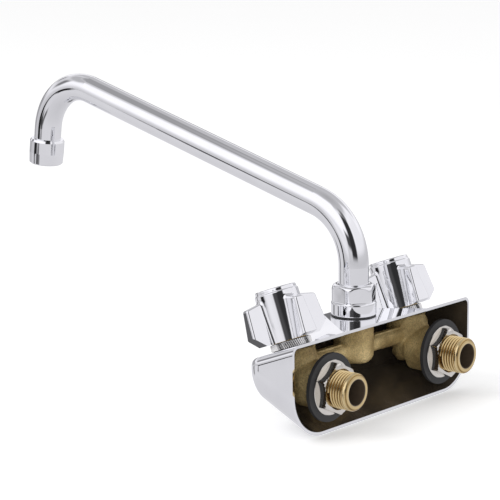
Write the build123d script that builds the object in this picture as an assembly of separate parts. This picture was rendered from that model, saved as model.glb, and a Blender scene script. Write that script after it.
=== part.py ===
from build123d import *
from math import cos, hypot, radians, sin, sqrt, tan
import os

# A commercial wall faucet with two cross-handle valves and a swinging spout.
#
# Frame: +Z is up and +Y points into the wall. The wall's face is the plane y = 0. The origin is on
# that plane, midway between the two inlets and at their height. The cold side is +X, the hot side -X.
# Heights called "above the deck" are measured along a valve's own axis, which is square to the deck.

# ---------------------------------------------------------------------------
# Driving dimensions, in millimetres and degrees
# ---------------------------------------------------------------------------

INLET_CENTRES = 101.6
SPOUT_REACH = 248.0

# Housing shell
HOUSING_HALF_WIDTH = 80.6
SHELL_WALL = 1.6
DECK_HEIGHT_AT_WALL = 27.3
BELLY_DROP_AT_WALL = 25.3
DECK_SLOPE = 21.0
BELLY_SLOPE = 25.0
DEPTH_AT_CENTRE = 38.5
DEPTH_AT_ENDS = 33.0
DECK_EDGE_RADIUS = 4.5
END_BOTTOM_RADIUS = 25.0
CHIN_RADIUS = 11.0

# Level platform that carries the spout
PLATFORM_HALF_WIDTH = 38.0
PLATFORM_FLANK_ANGLE = 25.0
PLATFORM_BROW_RADIUS = 2.5

# Valve positions
VALVE_SETBACK = 25.0
NECK_RADIUS = 9.4
NECK_HEIGHT = 3.8
NECK_HOLE_CLEARANCE = 0.3
VALVE_BODY_RADIUS = 12.0
VALVE_BODY_DEPTH = 25.0
VALVE_BODY_ROUNDING = 4.5

# Inlets
SHANK_RADIUS = 10.4
SHANK_BORE_RADIUS = 6.85
SHANK_REACH = 19.3
SHANK_GRIP = 9.0
SHANK_CHAMFER = 1.2
TAIL_RADIUS = 10.2
TAIL_RELIEF_RADIUS = 9.9
TAIL_RELIEF_LENGTH = 1.0
INLET_BOSS_RADIUS = 12.9
INLET_BOSS_CHAMFER = 1.0
WASHER_RADIUS = 18.7
WASHER_THICKNESS = 2.0
NUT_FLANGE_RADIUS = 15.0
NUT_FLANGE_THICKNESS = 1.9
NUT_ACROSS_FLATS = 24.4
NUT_HEX_LENGTH = 5.2

# Spout seat in the waterway
SPOUT_SETBACK = 22.6
HUB_RADIUS = 11.4
HUB_COLLAR_RADIUS = 12.4
HUB_COLLAR_DEPTH = 4.0
HUB_BOTTOM = 0.6
HUB_ROUNDING = 5.0
HUB_NECK_RADIUS = 11.0
HUB_NECK_TOP = 36.4
SOCKET_RADIUS = 7.6
SOCKET_BOTTOM = 12.0
CROSS_TUBE_RADIUS = 5.0
CROSS_TUBE_BORE_RADIUS = 3.4
CROSS_TUBE_HEIGHT = 8.4
CROSS_TUBE_SETBACK = 21.4

# Swivel nut
SEAL_THICKNESS = 0.8
SWIVEL_COLLAR_RADIUS = 12.8
SWIVEL_COLLAR_HEIGHT = 7.2
SWIVEL_COLLAR_ROUNDING = 0.8
SWIVEL_ACROSS_FLATS = 22.9
SWIVEL_HEIGHT = 17.1
SWIVEL_LIP = 4.4
SWIVEL_TURN = 23.6

# Spout tube
TUBE_RADIUS = 8.5
TUBE_WALL = 1.1
KNEE_HEIGHT = 81.6
KNEE_RADIUS = 35.5
RISE_ANGLE = 16.0
OUTLET_BEND_RADIUS = 31.5
OUTLET_TILT = 7.6
OUTLET_HEIGHT = 91.6
SPIGOT_FLANGE_THICKNESS = 1.8
SPIGOT_FLANGE_RADIUS = 10.5
SPIGOT_STUB_LENGTH = 8.0
SPIGOT_DEPTH = 17.0
SPIGOT_BORE_RADIUS = 5.2
SPIGOT_CHAMFER = 0.8
SNAP_RING_THICKNESS = 1.6
SNAP_RING_GAP_ANGLE = 28.0

# Aerator
AERATOR_RADIUS = 10.95
AERATOR_LENGTH = 16.0
AERATOR_SHOULDER = 1.4
AERATOR_FOOT_RADIUS = 10.6
AERATOR_FOOT_CHAMFER = 0.7
AERATOR_GRIP = 8.0
AERATOR_LIP = 1.2
AERATOR_MOUTH_RADIUS = 8.2
AERATOR_WASHER_THICKNESS = 1.5
AERATOR_WASHER_WIDTH = 2.0
AERATOR_HOLE_RADIUS = 0.8
AERATOR_HOLE_CIRCLES = {0.0: 1, 2.8: 6, 5.5: 12}

# Turned-down corners of the hexagons
HEX_CORNER_DROP = 1.0
HEX_CORNER_DEPTH = 1.6

# Knurled lock rings
LOCK_RING_RADIUS = 11.35
LOCK_RING_HEIGHT = 4.2
LOCK_RING_CHAMFER = 0.5

# Cartridges
CARTRIDGE_RADIUS = 7.9
CARTRIDGE_HEX = 15.8
CARTRIDGE_HEX_HEIGHT = 4.4
BONNET_RADIUS = 6.2
BONNET_HEIGHT = 3.6
STEM_RADIUS = 4.0
DISC_RADIUS = 6.5
DISC_THICKNESS = 2.6
DISC_STACK_FLOOR = 17.0
DISC_PORT_LENGTH = 4.2
DISC_PORT_WIDTH = 3.0
DISC_SLOT_DEPTH = 1.2
STEM_BLADE_LENGTH = 9.0
STEM_BLADE_WIDTH = 3.0
STEM_FOOT_HEIGHT = 3.0
SEAT_SEAL_THICKNESS = 2.0
SEAT_BORE_RADIUS = 4.6
VALVE_CHAMBER_DEPTH = 4.0
WINDOW_RADIUS = 2.6

# Handles
KNOB_BOTTOM = 4.4
KNOB_TOP = 33.5
KNOB_FOOT_RADIUS = 13.0
KNOB_SHOULDER_RADIUS = 12.3
KNOB_RIM_RADIUS = 11.4
KNOB_RIM_HEIGHT = 3.0
KNOB_SKIRT_RADIUS = 10.3
KNOB_SKIRT_DEPTH = 10.4
KNOB_RECESS_RADIUS = 8.6
KNOB_RECESS_DEPTH = 4.6
EAR_COUNT = 4
EAR_REACH_BOTTOM = 23.5
EAR_REACH_TOP = 22.3
EAR_TOP_AT_HUB = 27.5
EAR_TOP_AT_TIP = 25.5
EAR_CHAMFER_START = 17.0
EAR_CHAMFER_HEIGHT = 5.6
EAR_THICKNESS_BOTTOM = 9.2
EAR_THICKNESS_TOP = 5.2
EAR_EDGE_RADIUS = 1.4
EAR_ROOT_RADIUS = 2.2
KNOB_REST_TURN = -18.0
SPLINE_TOOTH_COUNT = 20
SPLINE_DEPTH = 0.35
SPLINE_CLEARANCE = 1.0
SCREW_RADIUS = 2.0
SCREW_LENGTH = 9.0
SCREW_END_SPACE = 0.5
SCREW_HEAD_RADIUS = 4.0
SCREW_HEAD_HEIGHT = 2.6
SCREW_HEAD_CHAMFER = 0.5
SCREW_SOCKET_RADIUS = 1.5
SCREW_SOCKET_FLOOR = 1.0
CAP_THICKNESS = 1.4
CAP_EDGE_RADIUS = 0.5
CAP_SKIRT_WALL = 1.2

# O-rings
STEM_RING_SECTION = 0.8
STEM_RING_HEIGHT = 2.0
CARTRIDGE_RING_SECTION = 0.9
CARTRIDGE_RING_HEIGHT = -4.0
SPIGOT_RING_SECTION = 1.1
SPIGOT_RING_DROP = 4.5

# Clearances
RUNNING_CLEARANCE = 0.05
LOOSE_CLEARANCE = 0.3
FACE_GAP = 0.1

SIDES = {"cold": 1, "hot": -1}

# Construction only: how far a form runs past a face that is cut later, and the top of the uncut housing
OVERRUN = 10.0
TROUGH_TOP = 60.0

# ---------------------------------------------------------------------------
# Sizes that follow from the ones above
# ---------------------------------------------------------------------------

DECK_HEIGHT_AT_VALVE = DECK_HEIGHT_AT_WALL - VALVE_SETBACK * tan(radians(DECK_SLOPE))
POCKET_RADIUS = CARTRIDGE_RADIUS + RUNNING_CLEARANCE
STEM_BORE_RADIUS = STEM_RADIUS + RUNNING_CLEARANCE
DISC_POCKET_RADIUS = DISC_RADIUS + RUNNING_CLEARANCE
DISC_STACK_TOP = -DISC_STACK_FLOOR + 2 * DISC_THICKNESS
POCKET_FLOOR = -DISC_STACK_FLOOR - SEAT_SEAL_THICKNESS
SWIVEL_FOOT = DECK_HEIGHT_AT_WALL + SEAL_THICKNESS
SWIVEL_TOP = SWIVEL_FOOT + SWIVEL_HEIGHT
SWIVEL_LIP_FLOOR = SWIVEL_TOP - SWIVEL_LIP
TUBE_BORE_RADIUS = TUBE_RADIUS - TUBE_WALL
TUBE_FOOT = HUB_NECK_TOP + FACE_GAP + SPIGOT_FLANGE_THICKNESS
AERATOR_INSERT_TOP = AERATOR_LENGTH - AERATOR_GRIP - AERATOR_WASHER_THICKNESS
SPIGOT_FOOT = HUB_NECK_TOP + FACE_GAP - SPIGOT_DEPTH
SPIGOT_JOURNAL_RADIUS = SOCKET_RADIUS - RUNNING_CLEARANCE
STEM_TOP = KNOB_TOP - KNOB_RECESS_DEPTH - SCREW_HEAD_HEIGHT
CARTRIDGE_HEX_TOP = NECK_HEIGHT + CARTRIDGE_HEX_HEIGHT
BONNET_TOP = CARTRIDGE_HEX_TOP + BONNET_HEIGHT
CARTRIDGE_RING_CENTRE = POCKET_RADIUS - CARTRIDGE_RING_SECTION - RUNNING_CLEARANCE / 2
STEM_RING_CENTRE = STEM_BORE_RADIUS - STEM_RING_SECTION - RUNNING_CLEARANCE / 2
SPIGOT_RING_CENTRE = SOCKET_RADIUS - SPIGOT_RING_SECTION - RUNNING_CLEARANCE / 2
SPIGOT_RING_HEIGHTS = {"upper": HUB_NECK_TOP - SPIGOT_RING_DROP, "lower": SPIGOT_FOOT + SPIGOT_RING_DROP}


# ---------------------------------------------------------------------------
# Shared forms
# ---------------------------------------------------------------------------


def cylinder(radius, bottom, top):
    """Upright cylinder between two heights."""
    upright = (Align.CENTER, Align.CENTER, Align.MIN)
    return Pos(0, 0, bottom) * Cylinder(radius, top - bottom, align=upright)


def ring(outer, inner, bottom, top):
    """Upright ring between two heights."""
    return cylinder(outer, bottom, top) - cylinder(inner, bottom - 1, top + 1)


def hanging_box(length, width, depth):
    """Box centred on the Z axis that hangs down from height 0."""
    return Box(length, width, depth, align=(Align.CENTER, Align.CENTER, Align.MAX))


def hexagon(across_flats, bottom, top):
    """Hexagonal prism with its outer corners turned down at the top."""
    outline = RegularPolygon(across_flats / 2, 6, major_radius=False)
    prism = extrude(Pos(0, 0, bottom) * outline, top - bottom)
    disc = cylinder(across_flats / sqrt(3), bottom, top)
    rounded = chamfer(disc.edges().group_by(Axis.Z)[-1], length=HEX_CORNER_DROP, length2=HEX_CORNER_DEPTH)
    return prism & rounded


def turned(*points):
    """Solid of revolution about the Z axis from (radius, height) points."""
    outline = Polyline(*[(radius, 0, height) for radius, height in points], close=True)
    return revolve(make_face(outline), Axis.Z)


def o_ring(centre_radius, section, height):
    """O-ring with a round section."""
    return Pos(0, 0, height) * Torus(centre_radius, section)


def valve_place(side):
    """Frame of one valve: its origin is on the deck and its Z axis is square to the deck."""
    tilt = radians(DECK_SLOPE)
    origin = (side * INLET_CENTRES / 2, -VALVE_SETBACK, DECK_HEIGHT_AT_VALVE)
    return Plane(origin=origin, x_dir=(1, 0, 0), z_dir=(0, -sin(tilt), cos(tilt))).location


def spout_place():
    """Frame of the spout's upright axis, with heights counted from the inlet axis."""
    return Pos(0, -SPOUT_SETBACK, 0)


# ---------------------------------------------------------------------------
# Housing shell
# ---------------------------------------------------------------------------


def bow(inset):
    """Tall round body whose surface is the bowed front of the housing."""
    bulge = DEPTH_AT_CENTRE - DEPTH_AT_ENDS
    radius = (HOUSING_HALF_WIDTH**2 + bulge**2) / (2 * bulge)
    return Pos(0, radius - DEPTH_AT_CENTRE, 0) * Cylinder(radius - inset, 6 * HOUSING_HALF_WIDTH)


def trough(inset):
    """The rim's outline drawn forward along the belly's slope, cut to the bow and rounded at its chin."""
    half = HOUSING_HALF_WIDTH - inset
    slope = radians(BELLY_SLOPE)
    floor = -BELLY_DROP_AT_WALL + inset / cos(slope)
    corner = END_BOTTOM_RADIUS - inset
    outline = [(-half, TROUGH_TOP), (-half, floor), (half, floor), (half, TROUGH_TOP)]
    face = Plane.XZ * make_face(FilletPolyline(*outline, radius=[0, corner, corner, 0], close=True))
    face = Pos(0, OVERRUN, -OVERRUN * tan(slope)) * face
    length = (2 * OVERRUN + DEPTH_AT_CENTRE) / cos(slope)
    block = extrude(face, amount=length, dir=(0, -cos(slope), sin(slope))) & bow(inset)
    front = block.faces().sort_by(Axis.Y)[0]
    chin = front.edges().filter_by(lambda edge: edge.position_at(0.5).Z < TROUGH_TOP)
    return fillet(chin, CHIN_RADIUS - inset)


def half_space_under(height, slope):
    """Everything under a plane that passes the wall at a height and falls towards the front."""
    angle = radians(slope)
    plane = Plane(origin=(0, 0, height), x_dir=(1, 0, 0), z_dir=(0, -cos(angle), -sin(angle)))
    size = 6 * HOUSING_HALF_WIDTH
    return plane.location * Box(size, size, size, align=(Align.CENTER, Align.MAX, Align.CENTER))


def deck_form(inset):
    """Housing without its platform: the trough under a sloping deck with rounded edges."""
    angle = radians(DECK_SLOPE)
    block = trough(inset) & half_space_under(DECK_HEIGHT_AT_WALL - inset / cos(angle), DECK_SLOPE)
    deck = block.faces().sort_by(lambda face: face.normal_at().Z * face.area)[-1]
    edges = deck.edges().filter_by(lambda edge: edge.position_at(0.5).Y < OVERRUN - 1)
    return fillet(edges, DECK_EDGE_RADIUS - inset)


def platform_form(inset):
    """Level hump in the middle of the deck, whose flanks run parallel to the deck."""
    angle = radians(DECK_SLOPE)
    flank = tan(radians(PLATFORM_FLANK_ANGLE))
    half = PLATFORM_HALF_WIDTH - inset / sin(radians(PLATFORM_FLANK_ANGLE))
    foot = -2 * SHELL_WALL
    plane = Plane(origin=(0, 0, DECK_HEIGHT_AT_WALL), x_dir=(1, 0, 0), z_dir=(0, -cos(angle), -sin(angle)))
    corners = [(0, half * flank), (-half + foot / flank, foot), (half - foot / flank, foot)]
    wedge = extrude(plane * make_face(Polyline(*corners, close=True)), 2 * HOUSING_HALF_WIDTH, both=True)
    block = bow(inset) & half_space_under(DECK_HEIGHT_AT_WALL - inset, 0.0)
    brow = block.edges().filter_by(GeomType.CIRCLE).sort_by(Axis.Z)[-1]
    return fillet(brow, PLATFORM_BROW_RADIUS - inset) & wedge & housing_space()


def housing_form(inset):
    """Solid body of the housing, drawn in by an inset on every side and run on into the wall."""
    return deck_form(inset) + platform_form(inset)


def housing_space():
    """Space that the housing may fill, from in front of it to a little way into the wall."""
    size = 4 * HOUSING_HALF_WIDTH
    return Pos(0, OVERRUN, 0) * Box(size, size, size, align=(Align.CENTER, Align.MAX, Align.CENTER))


def front_half():
    """Everything in front of the wall."""
    size = 4 * HOUSING_HALF_WIDTH
    return Box(size, size, size, align=(Align.CENTER, Align.MAX, Align.CENTER))


def make_housing():
    shell = (housing_form(0) - housing_form(SHELL_WALL)) & front_half()
    for side in SIDES.values():
        shell -= valve_place(side) * cylinder(NECK_RADIUS + NECK_HOLE_CLEARANCE, -OVERRUN / 2, OVERRUN / 2)
    spout_hole = cylinder(HUB_NECK_RADIUS + NECK_HOLE_CLEARANCE, -OVERRUN / 2, OVERRUN / 2)
    shell -= spout_place() * Pos(0, 0, DECK_HEIGHT_AT_WALL) * spout_hole
    return shell


# ---------------------------------------------------------------------------
# Waterway
# ---------------------------------------------------------------------------


def valve_body(side):
    """Outside of one valve body, flattened where it would meet the shell's front, with its threaded neck."""
    tilt = radians(DECK_SLOPE)
    barrel = cylinder(VALVE_BODY_RADIUS, -VALVE_BODY_DEPTH, -SHELL_WALL)
    barrel = fillet(barrel.edges().group_by(Axis.Z)[0], VALVE_BODY_ROUNDING)
    room = Pos(0, -sin(tilt) * LOOSE_CLEARANCE, cos(tilt) * LOOSE_CLEARANCE)
    room *= deck_form(SHELL_WALL + LOOSE_CLEARANCE)
    neck = cylinder(NECK_RADIUS, -SHELL_WALL, NECK_HEIGHT)
    return (valve_place(side) * barrel & room) + valve_place(side) * neck


def valve_hollow():
    """Cartridge pocket, seat and inlet chamber of one valve body, in the valve's own frame."""
    pocket = cylinder(POCKET_RADIUS, POCKET_FLOOR, NECK_HEIGHT + 1)
    chamber = cylinder(SEAT_BORE_RADIUS, POCKET_FLOOR - VALVE_CHAMBER_DEPTH, POCKET_FLOOR + 1)
    return pocket + chamber


def along_y(solid, side):
    """Turns an upright solid so that its Z axis points into the wall at one inlet."""
    return Pos(side * INLET_CENTRES / 2, 0, 0) * Rot(-90, 0, 0) * solid


def inlet_boss(side):
    """Boss that joins one inlet shank to its valve body."""
    depth = VALVE_SETBACK - VALVE_BODY_DEPTH * sin(radians(DECK_SLOPE))
    boss = chamfer(cylinder(INLET_BOSS_RADIUS, -depth, 0).edges().group_by(Axis.Z)[-1], INLET_BOSS_CHAMFER)
    return along_y(boss, side)


def inlet_passage(side):
    """Threaded socket and passage from one inlet shank to its valve chamber."""
    chamber_setback = VALVE_SETBACK + (POCKET_FLOOR - VALVE_CHAMBER_DEPTH / 2) * sin(radians(DECK_SLOPE))
    socket = cylinder(SHANK_RADIUS + RUNNING_CLEARANCE, -SHANK_GRIP, 1)
    passage = cylinder(SEAT_BORE_RADIUS, -chamber_setback, 1)
    return along_y(socket + passage, side)


def cross_tube(side, radius):
    """Round bar from the hub to one valve body."""
    bar = cylinder(radius, 0, INLET_CENTRES / 2)
    return Pos(0, -CROSS_TUBE_SETBACK, CROSS_TUBE_HEIGHT) * Rot(0, side * 90, 0) * bar


def hub_casting():
    """Upright hub under the spout, with a collar below the platform and a threaded neck."""
    under_shell = DECK_HEIGHT_AT_WALL - SHELL_WALL
    barrel = cylinder(HUB_RADIUS, HUB_BOTTOM, under_shell)
    barrel = fillet(barrel.edges().group_by(Axis.Z)[0], HUB_ROUNDING)
    collar = cylinder(HUB_COLLAR_RADIUS, under_shell - HUB_COLLAR_DEPTH, under_shell)
    collar = chamfer(collar.edges().group_by(Axis.Z)[0], HUB_COLLAR_RADIUS - HUB_RADIUS - 0.2)
    neck = cylinder(HUB_NECK_RADIUS, under_shell, HUB_NECK_TOP)
    return spout_place() * (barrel + collar + neck)


def make_waterway():
    casting = hub_casting()
    for side in SIDES.values():
        casting += cross_tube(side, CROSS_TUBE_RADIUS)
        casting += inlet_boss(side)
        casting += valve_body(side)
    casting -= spout_place() * cylinder(SOCKET_RADIUS, SOCKET_BOTTOM, HUB_NECK_TOP + 1)
    casting -= spout_place() * cylinder(CROSS_TUBE_BORE_RADIUS, CROSS_TUBE_HEIGHT, SOCKET_BOTTOM + 1)
    for side in SIDES.values():
        casting -= cross_tube(side, CROSS_TUBE_BORE_RADIUS)
        casting -= inlet_passage(side)
        casting -= valve_place(side) * valve_hollow()
    return casting


# ---------------------------------------------------------------------------
# Inlets
# ---------------------------------------------------------------------------


def make_inlet_shank(side):
    """Brass shank: a thick part held in the casting and the nut, a relief and a free tail for the pipe."""
    nut_face = WASHER_THICKNESS + NUT_FLANGE_THICKNESS + NUT_HEX_LENGTH
    shank = turned(
        (SHANK_BORE_RADIUS, -SHANK_GRIP),
        (SHANK_RADIUS, -SHANK_GRIP),
        (SHANK_RADIUS, nut_face),
        (TAIL_RELIEF_RADIUS, nut_face),
        (TAIL_RELIEF_RADIUS, nut_face + TAIL_RELIEF_LENGTH),
        (TAIL_RADIUS, nut_face + TAIL_RELIEF_LENGTH),
        (TAIL_RADIUS, SHANK_REACH - SHANK_CHAMFER),
        (TAIL_RADIUS - SHANK_CHAMFER, SHANK_REACH),
        (SHANK_BORE_RADIUS, SHANK_REACH),
    )
    return along_y(shank, side)


def make_wall_washer(side):
    washer = ring(WASHER_RADIUS, SHANK_RADIUS + LOOSE_CLEARANCE, 0, WASHER_THICKNESS)
    return along_y(washer, side)


def make_flange_nut(side):
    flange_top = WASHER_THICKNESS + NUT_FLANGE_THICKNESS
    flange = cylinder(NUT_FLANGE_RADIUS, WASHER_THICKNESS, flange_top)
    flange = chamfer(flange.edges().group_by(Axis.Z)[-1], NUT_FLANGE_THICKNESS / 3)
    nut = flange + hexagon(NUT_ACROSS_FLATS, flange_top, flange_top + NUT_HEX_LENGTH)
    nut -= cylinder(SHANK_RADIUS + RUNNING_CLEARANCE, 0, SHANK_REACH)
    return along_y(nut, side)


# ---------------------------------------------------------------------------
# Valves: lock ring, cartridge, discs and stem
# ---------------------------------------------------------------------------


def make_lock_ring():
    body = cylinder(LOCK_RING_RADIUS, 0, LOCK_RING_HEIGHT)
    body = chamfer(body.edges().filter_by(GeomType.CIRCLE), LOCK_RING_CHAMFER)
    return body - cylinder(NECK_RADIUS + RUNNING_CLEARANCE, -1, LOCK_RING_HEIGHT + 1)


def ring_groove(shaft_radius, section, height, outside):
    """Groove round a shaft that takes an O-ring lying against a bore of the given radius."""
    floor = outside - 2 * section - RUNNING_CLEARANCE
    width = section + LOOSE_CLEARANCE
    return ring(shaft_radius + 1, floor, height - width, height + width)


def make_cartridge_body():
    body = cylinder(CARTRIDGE_RADIUS, -DISC_STACK_FLOOR, NECK_HEIGHT)
    body += hexagon(CARTRIDGE_HEX, NECK_HEIGHT, CARTRIDGE_HEX_TOP)
    body += cylinder(BONNET_RADIUS, CARTRIDGE_HEX_TOP, BONNET_TOP)
    body -= cylinder(STEM_BORE_RADIUS, DISC_STACK_TOP, BONNET_TOP + 1)
    body -= cylinder(DISC_POCKET_RADIUS, -DISC_STACK_FLOOR - 1, DISC_STACK_TOP + STEM_FOOT_HEIGHT)
    body -= ring_groove(CARTRIDGE_RADIUS, CARTRIDGE_RING_SECTION, CARTRIDGE_RING_HEIGHT, POCKET_RADIUS)
    window = cylinder(WINDOW_RADIUS, -2 * CARTRIDGE_RADIUS, 2 * CARTRIDGE_RADIUS)
    body -= Pos(0, 0, DISC_STACK_TOP) * Rot(0, 90, 0) * window
    return body


def make_stem():
    """Stem with a driving blade below, a groove for its O-ring and a splined, drilled top."""
    foot = DISC_STACK_TOP + FACE_GAP
    foot_top = DISC_STACK_TOP + STEM_FOOT_HEIGHT - FACE_GAP
    spline_foot = BONNET_TOP + SPLINE_CLEARANCE
    stem = cylinder(DISC_RADIUS, foot, foot_top)
    stem += cylinder(STEM_RADIUS, foot_top, spline_foot)
    stem += extrude(Pos(0, 0, spline_foot) * spline_outline(0), STEM_TOP - spline_foot)
    blade = hanging_box(STEM_BLADE_LENGTH, STEM_BLADE_WIDTH, DISC_SLOT_DEPTH)
    stem += Pos(0, 0, foot) * blade
    stem -= ring_groove(STEM_RADIUS, STEM_RING_SECTION, STEM_RING_HEIGHT, STEM_BORE_RADIUS)
    return stem - cylinder(SCREW_RADIUS + RUNNING_CLEARANCE, STEM_TOP - SCREW_LENGTH, STEM_TOP + 1)


def spline_outline(clearance):
    """Outline of the splined stem end, one point on each tooth and one in each gap."""
    points = []
    for index in range(2 * SPLINE_TOOTH_COUNT):
        angle = radians(index * 180 / SPLINE_TOOTH_COUNT)
        radius = STEM_RADIUS + clearance - (index % 2) * SPLINE_DEPTH
        points.append((radius * cos(angle), radius * sin(angle)))
    return make_face(Polyline(*points, close=True))


def port_pair():
    """Two opposite ports of a ceramic disc."""
    port = SlotOverall(DISC_PORT_LENGTH, DISC_PORT_WIDTH, rotation=90)
    return Pos(DISC_RADIUS / 2, 0) * port + Pos(-DISC_RADIUS / 2, 0) * port


def make_fixed_disc():
    disc = cylinder(DISC_RADIUS, -DISC_STACK_FLOOR, -DISC_STACK_FLOOR + DISC_THICKNESS)
    return disc - extrude(Pos(0, 0, -DISC_STACK_FLOOR - 1) * port_pair(), DISC_THICKNESS + 2)


def make_moving_disc():
    floor = -DISC_STACK_FLOOR + DISC_THICKNESS
    disc = cylinder(DISC_RADIUS, floor, DISC_STACK_TOP)
    disc -= Rot(0, 0, 90) * extrude(Pos(0, 0, floor - 1) * port_pair(), DISC_THICKNESS + 2)
    slot = hanging_box(
        STEM_BLADE_LENGTH + 2 * LOOSE_CLEARANCE,
        STEM_BLADE_WIDTH + 2 * LOOSE_CLEARANCE,
        DISC_SLOT_DEPTH + LOOSE_CLEARANCE,
    )
    return disc - Pos(0, 0, DISC_STACK_TOP) * slot


def make_seat_seal():
    return ring(DISC_RADIUS, SEAT_BORE_RADIUS, POCKET_FLOOR, -DISC_STACK_FLOOR)


# ---------------------------------------------------------------------------
# Cross handles
# ---------------------------------------------------------------------------


def ear_blank():
    """One ear, reaching along +X: its side view crossed with its tapering end view."""
    side_view = FilletPolyline(
        (KNOB_FOOT_RADIUS / 2, KNOB_BOTTOM),
        (EAR_CHAMFER_START, KNOB_BOTTOM),
        (EAR_REACH_BOTTOM, KNOB_BOTTOM + EAR_CHAMFER_HEIGHT),
        (EAR_REACH_TOP, EAR_TOP_AT_TIP),
        (KNOB_SHOULDER_RADIUS, EAR_TOP_AT_HUB),
        (KNOB_FOOT_RADIUS / 2, EAR_TOP_AT_HUB),
        radius=[0, 0, 0, EAR_EDGE_RADIUS, 0, 0],
        close=True,
    )
    end_view_outline = Polyline(
        (-EAR_THICKNESS_BOTTOM / 2, KNOB_BOTTOM),
        (EAR_THICKNESS_BOTTOM / 2, KNOB_BOTTOM),
        (EAR_THICKNESS_TOP / 2, EAR_TOP_AT_HUB),
        (-EAR_THICKNESS_TOP / 2, EAR_TOP_AT_HUB),
        close=True,
    )
    side_solid = extrude(Plane.XZ * make_face(side_view), EAR_THICKNESS_BOTTOM, both=True)
    end_solid = extrude(Plane.YZ * make_face(end_view_outline), EAR_REACH_BOTTOM + 1)
    return side_solid & end_solid


def ear():
    """An ear with its tip's upright edges rounded."""

    def is_upright_tip(edge):
        at_tip = edge.position_at(0.5).X > EAR_CHAMFER_START
        return at_tip and abs((edge @ 1 - edge @ 0).Z) > EAR_THICKNESS_BOTTOM

    return fillet(ear_blank().edges().filter_by(is_upright_tip), EAR_EDGE_RADIUS)


def make_knob():
    rim_foot = KNOB_TOP - KNOB_RIM_HEIGHT
    hub = turned(
        (0, KNOB_BOTTOM),
        (KNOB_FOOT_RADIUS, KNOB_BOTTOM),
        (KNOB_SHOULDER_RADIUS, rim_foot),
        (KNOB_RIM_RADIUS, KNOB_TOP),
        (0, KNOB_TOP),
    )
    knob = hub
    for index in range(EAR_COUNT):
        knob += Rot(0, 0, index * 360 / EAR_COUNT) * ear()
    knob = round_ear_roots(knob)
    recess_floor = KNOB_TOP - KNOB_RECESS_DEPTH
    knob -= cylinder(KNOB_SKIRT_RADIUS, KNOB_BOTTOM - 1, KNOB_BOTTOM + KNOB_SKIRT_DEPTH)
    knob -= cylinder(KNOB_RECESS_RADIUS, recess_floor, KNOB_TOP + 1)
    knob -= cylinder(SCREW_RADIUS + LOOSE_CLEARANCE, STEM_TOP - 1, recess_floor + 1)
    spline_socket = spline_outline(RUNNING_CLEARANCE)
    knob -= extrude(Pos(0, 0, KNOB_BOTTOM) * spline_socket, STEM_TOP - KNOB_BOTTOM + FACE_GAP)
    return knob


def round_ear_roots(knob):
    """Rounds the inner corners between the ears and the hub."""

    def is_root(edge):
        middle = edge.position_at(0.5)
        distance = hypot(middle.X, middle.Y)
        at_hub = KNOB_SHOULDER_RADIUS - 0.4 < distance < KNOB_FOOT_RADIUS + 0.1
        return at_hub and abs((edge @ 1 - edge @ 0).Z) > EAR_THICKNESS_BOTTOM

    return fillet(knob.edges().filter_by(is_root), EAR_ROOT_RADIUS)


def make_handle_screw():
    recess_floor = KNOB_TOP - KNOB_RECESS_DEPTH
    head = cylinder(SCREW_HEAD_RADIUS, recess_floor, recess_floor + SCREW_HEAD_HEIGHT)
    head = chamfer(head.edges().group_by(Axis.Z)[-1], SCREW_HEAD_CHAMFER)
    socket = Pos(0, 0, recess_floor + SCREW_SOCKET_FLOOR) * RegularPolygon(SCREW_SOCKET_RADIUS, 6)
    head -= extrude(socket, SCREW_HEAD_HEIGHT)
    return head + cylinder(SCREW_RADIUS, STEM_TOP - SCREW_LENGTH + SCREW_END_SPACE, recess_floor)


def make_index_cap():
    floor = KNOB_TOP - CAP_THICKNESS
    cap = cylinder(KNOB_RECESS_RADIUS - RUNNING_CLEARANCE, floor, KNOB_TOP)
    cap = fillet(cap.edges().group_by(Axis.Z)[-1], CAP_EDGE_RADIUS)
    outside = KNOB_RECESS_RADIUS - RUNNING_CLEARANCE
    return cap + ring(outside, outside - CAP_SKIRT_WALL, KNOB_TOP - KNOB_RECESS_DEPTH, floor)


# ---------------------------------------------------------------------------
# Spout
# ---------------------------------------------------------------------------


def make_swivel_nut():
    collar_top = SWIVEL_FOOT + SWIVEL_COLLAR_HEIGHT
    collar = cylinder(SWIVEL_COLLAR_RADIUS, SWIVEL_FOOT, collar_top)
    collar = fillet(collar.edges().group_by(Axis.Z)[-1], SWIVEL_COLLAR_ROUNDING)
    nut = collar + Rot(0, 0, SWIVEL_TURN) * hexagon(SWIVEL_ACROSS_FLATS, collar_top - 1, SWIVEL_TOP)
    nut -= cylinder(HUB_NECK_RADIUS + RUNNING_CLEARANCE, SWIVEL_FOOT - 1, SWIVEL_LIP_FLOOR)
    nut -= cylinder(TUBE_RADIUS + LOOSE_CLEARANCE, SWIVEL_LIP_FLOOR - 1, SWIVEL_TOP + 1)
    return spout_place() * nut


def make_nut_seal():
    seal = ring(SWIVEL_COLLAR_RADIUS - LOOSE_CLEARANCE, HUB_NECK_RADIUS + LOOSE_CLEARANCE, 0, SEAL_THICKNESS)
    return spout_place() * Pos(0, 0, DECK_HEIGHT_AT_WALL) * seal


def outlet_mouth():
    """Centre of the spout's mouth as (reach from the spout's axis, height)."""
    return SPOUT_REACH + AERATOR_LENGTH / 2 * sin(radians(OUTLET_TILT)), OUTLET_HEIGHT


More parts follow.
